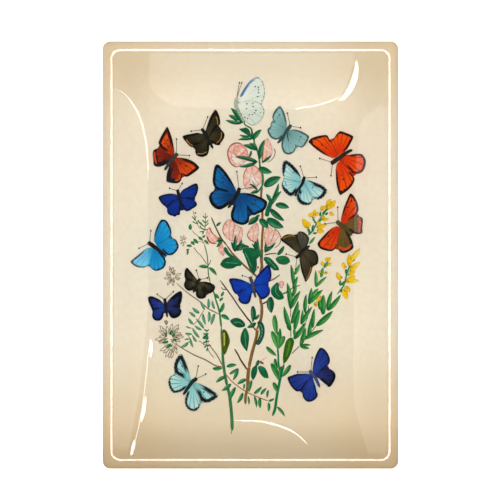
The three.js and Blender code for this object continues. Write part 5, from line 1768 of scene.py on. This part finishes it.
BROOM_SIDE_FLOWERS = Plant("broom_side_flowers", 0.18,
    stems=(
        (MID_GREEN, 1.0, 1.2, ((62, -28), (64.5, -25), (67, -21), (68.6, -15), (70.5, -9), (72.5, -5))),
    ),
    petals=(
        (PALE_YELLOW, ((71, -4, 78.3, 4.8, 2.8), (73, -5, 73.5, 0.5, 2.4), (71, -9.5, 78.5, -5, 2.5),
            (68.5, -19.3, 77.7, -18.5, 2.4))),
        (YELLOW, ((70.5, -8, 70.5, 0.5, 2.8), (71, -12.5, 76.5, -8, 2.7), (70.3, -13.8, 75, -11.5, 2.2),
            (66, -5.5, 67, -10, 2), (68.5, -18.5, 75, -14.8, 2.8), (64.5, -17.8, 61.8, -12.3, 2.4),
            (67, -24, 69.2, -31.5, 3), (67.5, -22.5, 71, -26.5, 2.7), (50.5, -29.5, 47, -34, 1.8),
            (45.4, -34, 47.2, -37, 2), (54, -4.5, 54.6, -1.5, 1.9), (55.4, -4.5, 57.4, -1.6, 1.7),
            (51.8, -7.4, 50.4, -4.8, 1.9), (55, -7.6, 58, -5.8, 1.7), (52.6, -12.8, 55.4, -12.4, 1.7),
            (50.4, -12.4, 48.2, -11.4, 1.6))),
    ),
    leaves=(
        (MID_GREEN, ((69.8, -14.3, 72.5, -12.5, 1.6), (68.2, -10, 68.3, -14, 1.9),
            (65, -21.5, 68.5, -18, 2.1), (64.3, -22, 64.5, -18, 2), (64, -24.5, 67.5, -27.5, 1.8),
            (72.8, -4.8, 75, -3, 1.5))),
    ),
    dots=(
        (OCHRE, ((71.8, -2.6, 1.2), (70.6, -5.8, 1.2), (72.4, -8.6, 1.1), (68.2, -8.5, 1.6),
            (65.2, -16, 1.6), (70.2, -18.8, 1.2), (67.6, -25.6, 1.3), (69, -23.8, 1.1),
            (46.2, -35.5, 1.4))),
        (OLIVE, ((74, -3.7, 1), (71.6, -11, 0.9), (53.8, -12.6, 1))),
    ))

PLANTS = (
    RESTHARROW_STEM, HEDGE_SPRAYS, VETCH, RESTHARROW_LEAVES, BROOM_PLANT, *CLOVER_HEADS, BROOM_SIDE_FLOWERS,
    BROOM_UPPER_FLOWERS, RESTHARROW_UPPER_FLOWERS, RESTHARROW_LOWER_FLOWERS, CATERPILLARS,
)


@dataclass(frozen=True)
class SoftBox:
    """A wide card: the two sides of its reflection on the tray, in millimetres, and its light."""

    name: str
    first: tuple[Point, ...]
    second: tuple[Point, ...]
    light: float


@dataclass(frozen=True)
class Streak:
    """A narrow card: the line of its reflection, its greatest width and its light."""

    name: str
    points: tuple[Point, ...]
    width: float
    light: float


SOFT_BOXES = (
    SoftBox(
        "left_softbox",
        ((-97.6, 119), (-97.6, 60), (-97.6, 0), (-97.6, -80), (-97.6, -141)),
        ((-97.4, 119.5), (-88, 112), (-79, 103), (-75, 90), (-73.2, 72), (-73, 20), (-73, -32),
         (-75, -60), (-79, -95), (-84, -124), (-87, -141)), 1.7,
    ),
    SoftBox(
        "right_softbox",
        ((97.4, 108), (97.4, 60), (97.4, 0), (97.4, -80), (97.4, -143)),
        ((94, 108.5), (88, 104), (81, 99), (78.2, 92), (77, 84), (75, 60), (74, 20), (73.5, -40),
         (73.5, -92), (75.5, -114), (84.5, -144)), 1.5,
    ),
    SoftBox(
        "front_softbox",
        ((-73, 144.3), (-30, 144.3), (20, 144.3), (75, 144.3)),
        ((-73.5, 128), (-70.5, 117.5), (-61, 109), (-46.5, 105.5), (-20, 104.2), (10, 104),
         (42, 104.5), (64, 113), (75, 139)), 1.6,
    ),
)

STREAKS = (
    Streak(
        "left_top_line",
        ((-99, 119), (-90, 115), (-81, 102.5), (-75.8, 86), (-73.8, 70), (-73.2, 52)), 1.8, 10.0,
    ),
    Streak("left_low_line", ((-72, -57), (-74, -80), (-78, -112), (-84.5, -142.5)), 0.9, 12.0),
    Streak("left_spindle", ((-71.4, -60), (-71.2, -67), (-71.8, -74)), 2.8, 22.0),
    Streak("left_lower_spindle", ((-75, -101), (-76.2, -110), (-78.2, -120)), 2.9, 22.0),
    Streak("left_last_spindle", ((-82.6, -132), (-84.2, -139), (-85.5, -143.5)), 3.2, 22.0),
    Streak("top_line", ((28, 104), (48, 107.5), (60, 111.5), (66, 115)), 0.9, 18.0),
    Streak(
        "top_spindle",
        ((62.5, 110.5), (67.5, 113.5), (72.5, 121), (75.4, 130), (75.8, 139.8)), 5.0, 24.0,
    ),
    Streak(
        "low_arc",
        ((-13, -118.5), (4, -119), (15, -120.8), (25, -124), (33, -128.2), (39, -133.5), (42, -137)),
        1.6, 18.0,
    ),
)


@dataclass
class Studio:
    """Camera straight above, a white floor, even light, and cards that the glass mirrors."""

    lens: float = 200.0
    film: float = 36.0
    view_width: float = 0.3565
    aim: Point = (-0.00036, 0.00357)
    rim_height: float = 0.01996
    light: float = 1.72
    zenith: float = 0.15
    card_distance: float = 0.005
    streak_distance: float = 0.003
    rim_line_distance: float = 0.0008
    rim_line: tuple[float, float] = (0.05, 1.6)
    rim_line_light: float = 14.0
    rim_line_fade: float = 0.4
    rim_line_columns: int = 6
    streak_rows: int = 30
    streak_fade: tuple[float, float] = (0.5, 0.1)
    card_rows: int = 90
    card_columns: int = 10
    horizon: float = 0.6
    air: Colour = (0.962, 1.0, 0.955)
    floor_half: float = 6.0
    floor_white: float = 0.8
    floor_glow: float = 0.55

    @property
    def eye(self) -> Vector:
        """Where the camera stands."""
        return Vector((*self.aim, self.rim_height + self.view_width * self.lens / self.film))

    def camera(self) -> None:
        """Hangs the camera over the tray, looking straight down."""
        data = bpy.data.cameras.new("camera")
        data.lens, data.sensor_width = self.lens, self.film
        data.clip_start, data.clip_end = 0.05, 50.0
        camera = bpy.data.objects.new("camera", data)
        camera.location = self.eye
        bpy.context.scene.collection.objects.link(camera)
        bpy.context.scene.camera = camera

    def world(self) -> None:
        """Lights everything evenly, and gives mirrors a sky that is dim overhead."""
        world = bpy.data.worlds.new("studio")
        bpy.context.scene.world = world
        world.use_nodes = True
        graph = Graph(world.node_tree)
        path = graph.node("ShaderNodeLightPath", {}, {})
        through = Socket(graph, path.outputs["Is Transmission Ray"])
        mirrored = Socket(graph, path.outputs["Is Glossy Ray"]) * (1 - through)
        way = graph.add("ShaderNodeTexCoord", {}, {}, "Generated")
        up = graph.add("ShaderNodeSeparateXYZ", {}, {"Vector": way}, "Z")
        sky = up.ramp(1.0, 0.1) * (self.horizon - self.zenith) + self.zenith
        strength = mirrored * sky + (1 - mirrored) * self.light
        shade = graph.add("ShaderNodeBackground", {}, {"Color": (*self.air, 1.0), "Strength": strength})
        graph.node("ShaderNodeOutputWorld", {}, {"Surface": shade})

    def floor(self) -> None:
        """Lays a plain white floor under the tray."""
        plane = bmesh.new()
        bmesh.ops.create_grid(plane, x_segments=1, y_segments=1, size=self.floor_half)
        material, graph = new_material("studio_floor")
        graph.surface({
            "Base Color": (*[self.floor_white] * 3, 1.0), "Roughness": 1.0, "Specular IOR Level": 0.0,
            "Emission Color": (1.0, 1.0, 1.0, 1.0), "Emission Strength": self.floor_glow,
        })
        self._stage(plane, "studio_floor", material)

    def _stage(self, skin: bmesh.types.BMesh, name: str, material: bpy.types.Material) -> bpy.types.Object:
        """Adds a mesh that isn't part of the tray."""
        mesh = bpy.data.meshes.new(name)
        skin.to_mesh(mesh)
        skin.free()
        mesh.materials.append(material)
        stage = bpy.data.objects.new(name, mesh)
        bpy.context.scene.collection.objects.link(stage)
        return stage

    def _only_mirrored(self, card: bpy.types.Object) -> None:
        """Hides a card from everything but reflections."""
        card.visible_camera = card.visible_diffuse = card.visible_transmission = False
        card.visible_shadow = card.visible_volume_scatter = False

    def _glow(self, name: str, light: float, soft_sides: float, soft_ends: float) -> bpy.types.Material:
        """Makes a card's material, which fades out towards its edges.

        Args:
            name: the material's name.
            light: its radiance.
            soft_sides: share of its half width over which its sides fade.
            soft_ends: share of its length over which its ends fade.
        Returns:
            The material.
        """
        material, graph = new_material(name)
        material.cycles.emission_sampling = "NONE"
        along, across = graph.attribute("along"), graph.attribute("across")
        ends = (0.5 - abs(along - 0.5)).ramp(-0.001, soft_ends)
        fade = (1 - abs(across)).ramp(0.0, soft_sides) * ends
        clear = graph.add("ShaderNodeBsdfTransparent", {}, {})
        glow = graph.add("ShaderNodeEmission", {}, {"Strength": light})
        both = graph.add("ShaderNodeMixShader", {}, {0: fade, 1: clear, 2: glow})
        graph.node("ShaderNodeOutputMaterial", {}, {"Surface": both})
        return material

    def mirrored_place(self, x: np.ndarray, y: np.ndarray, distance: float) -> np.ndarray:
        """Finds what the camera sees mirrored in the glass.

        Args:
            x: places across the tray, in millimetres.
            y: places along it.
            distance: how far the mirrored ray runs, in metres.
        Returns:
            Points at that distance, in metres, one row for each place.
        """
        s, step = TRAY.inward_at(x, y), 0.05
        lean = np.column_stack([
            TRAY.inward_at(x + step, y) - TRAY.inward_at(x - step, y),
            TRAY.inward_at(x, y + step) - TRAY.inward_at(x, y - step),
        ]) / (2 * step)
        slope = (TRAY.well_depth(s + step) - TRAY.well_depth(s - step)) / (2 * step)
        height = TRAY.glass_top_floor + TRAY.depth - TRAY.well_depth(s)
        places = np.column_stack([x, y, height]) * MM
        normals = np.column_stack([lean * slope[:, None], np.ones(len(x))])
        normals /= np.linalg.norm(normals, axis=1)[:, None]
        rays = places - np.array(self.eye)
        rays /= np.linalg.norm(rays, axis=1)[:, None]
        rays -= 2 * np.sum(rays * normals, axis=1)[:, None] * normals
        return places + rays * distance

    def card(self, name: str, first: Sequence[Point], second: Sequence[Point], light: float,
             soft_sides: float = 0.06, soft_ends: float = 0.02, near: bool = False) -> None:
        """Hangs a card whose reflection fills the stretch between two lines on the glass.

        Args:
            name: the card's name.
            first: one side of the reflection, in millimetres on the tray.
            second: its other side, drawn the same way along.
            light: the card's radiance.
            soft_sides: share of its half width over which its sides fade.
            soft_ends: share of its length over which its ends fade.
            near: whether it hangs in front of the wide cards.
        """
        distance = self.streak_distance if near else self.card_distance
        sides = [resampled(smooth_path(line), self.card_rows) for line in (first, second)]
        glow = self._glow(f"{name}_glow", light, soft_sides, soft_ends)
        self._hang(name, sides[0], sides[1], self.card_columns, distance, glow)

    def _hang(self, name: str, first: np.ndarray, second: np.ndarray, columns: int, distance: float,
              material: bpy.types.Material) -> None:
        """Builds a card from the two sides of its reflection.

        Args:
            name: the card's name.
            first: one side, in millimetres on the tray.
            second: the other side, with as many points.
            columns: strips between the sides.
            distance: how far over the glass it hangs, in metres.
            material: what it glows with.
        """
        share = np.linspace(0, 1, columns + 1)[None, :, None]
        places = first[:, None] * (1 - share) + second[:, None] * share
        across = np.tile(np.linspace(-1, 1, columns + 1), (len(first), 1))
        drawing = Sheet2D()
        drawing.grid(places, np.ones_like(across), across, (1.0, 1.0, 1.0), 0)
        flat = np.array([vert.co for vert in drawing.mesh.verts])
        for vert, place in zip(drawing.mesh.verts, self.mirrored_place(flat[:, 0], flat[:, 1], distance)):
            vert.co = place
        self._only_mirrored(self._stage(drawing.mesh, name, material))

    def rim_card(self) -> None:
        """Hangs a narrow loop over the step inside the rim, which mirrors as a white line all round."""
        insets = [TRAY.rim_width + inward for inward in self.rim_line]
        radii = [float(TRAY.corner_radius(inward)) for inward in self.rim_line]
        outer, inner = (
            np.array([TRAY.ring_point(step, inset, radius) for step in range(TRAY.round_steps + 1)])
            for inset, radius in zip(insets, radii)
        )
        glow = self._glow("rim_line_glow", self.rim_line_light, self.rim_line_fade, 0.0)
        self._hang("rim_line_card", outer, inner, self.rim_line_columns, self.rim_line_distance, glow)

    def streak(self, streak: Streak) -> None:
        """Hangs a narrow card that mirrors as a spindle along a line on the glass."""
        path = resampled(smooth_path(streak.points), self.streak_rows)
        t = np.linspace(0, 1, len(path))
        halves = streak.width / 2 * np.sin(np.pi * (0.03 + 0.94 * t)) ** 0.7
        offset = normals_along(path) * halves[:, None]
        sides = [[tuple(p) for p in path + sign * offset] for sign in (1, -1)]
        self.card(streak.name, sides[0], sides[1], streak.light, *self.streak_fade, near=True)

    def build(self) -> None:
        """Sets up the camera, floor, light and cards."""
        self.camera()
        self.world()
        self.floor()
        self.rim_card()
        for box in SOFT_BOXES:
            self.card(box.name, box.first, box.second, box.light)
        for streak in STREAKS:
            self.streak(streak)


def main() -> None:
    """Builds the tray and its picture, then the studio round it."""
    logging.basicConfig(level=logging.INFO, format="%(name)s %(message)s")
    bpy.context.scene.view_settings.view_transform = "Standard"
    bpy.context.scene.cycles.diffuse_bounces = DIFFUSE_BOUNCES
    GlassTray().build()
    PaperSheet(
        "print_sheet_skin", floor=3.1, thickness=0.4, inset=0.45, material=PrintPaper().material(),
        slot="printed_paper", node="print_sheet",
    ).build()
    PaperSheet(
        "backing_sheet_skin", floor=2.3, thickness=0.78, inset=0.9, material=BackingPaper().material(),
        slot="backing_paper", node="backing_sheet",
    ).build()
    clear = ClearBumper().material()
    for node in sorted(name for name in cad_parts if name.startswith("bumper_")):
        Bumper(node).build(clear)
    for plant in PLANTS:
        plant.build()
    for butterfly in BUTTERFLIES:
        butterfly.build(BUTTERFLY_LEVEL)
    Studio().build()


if __name__ == "__main__":
    main()
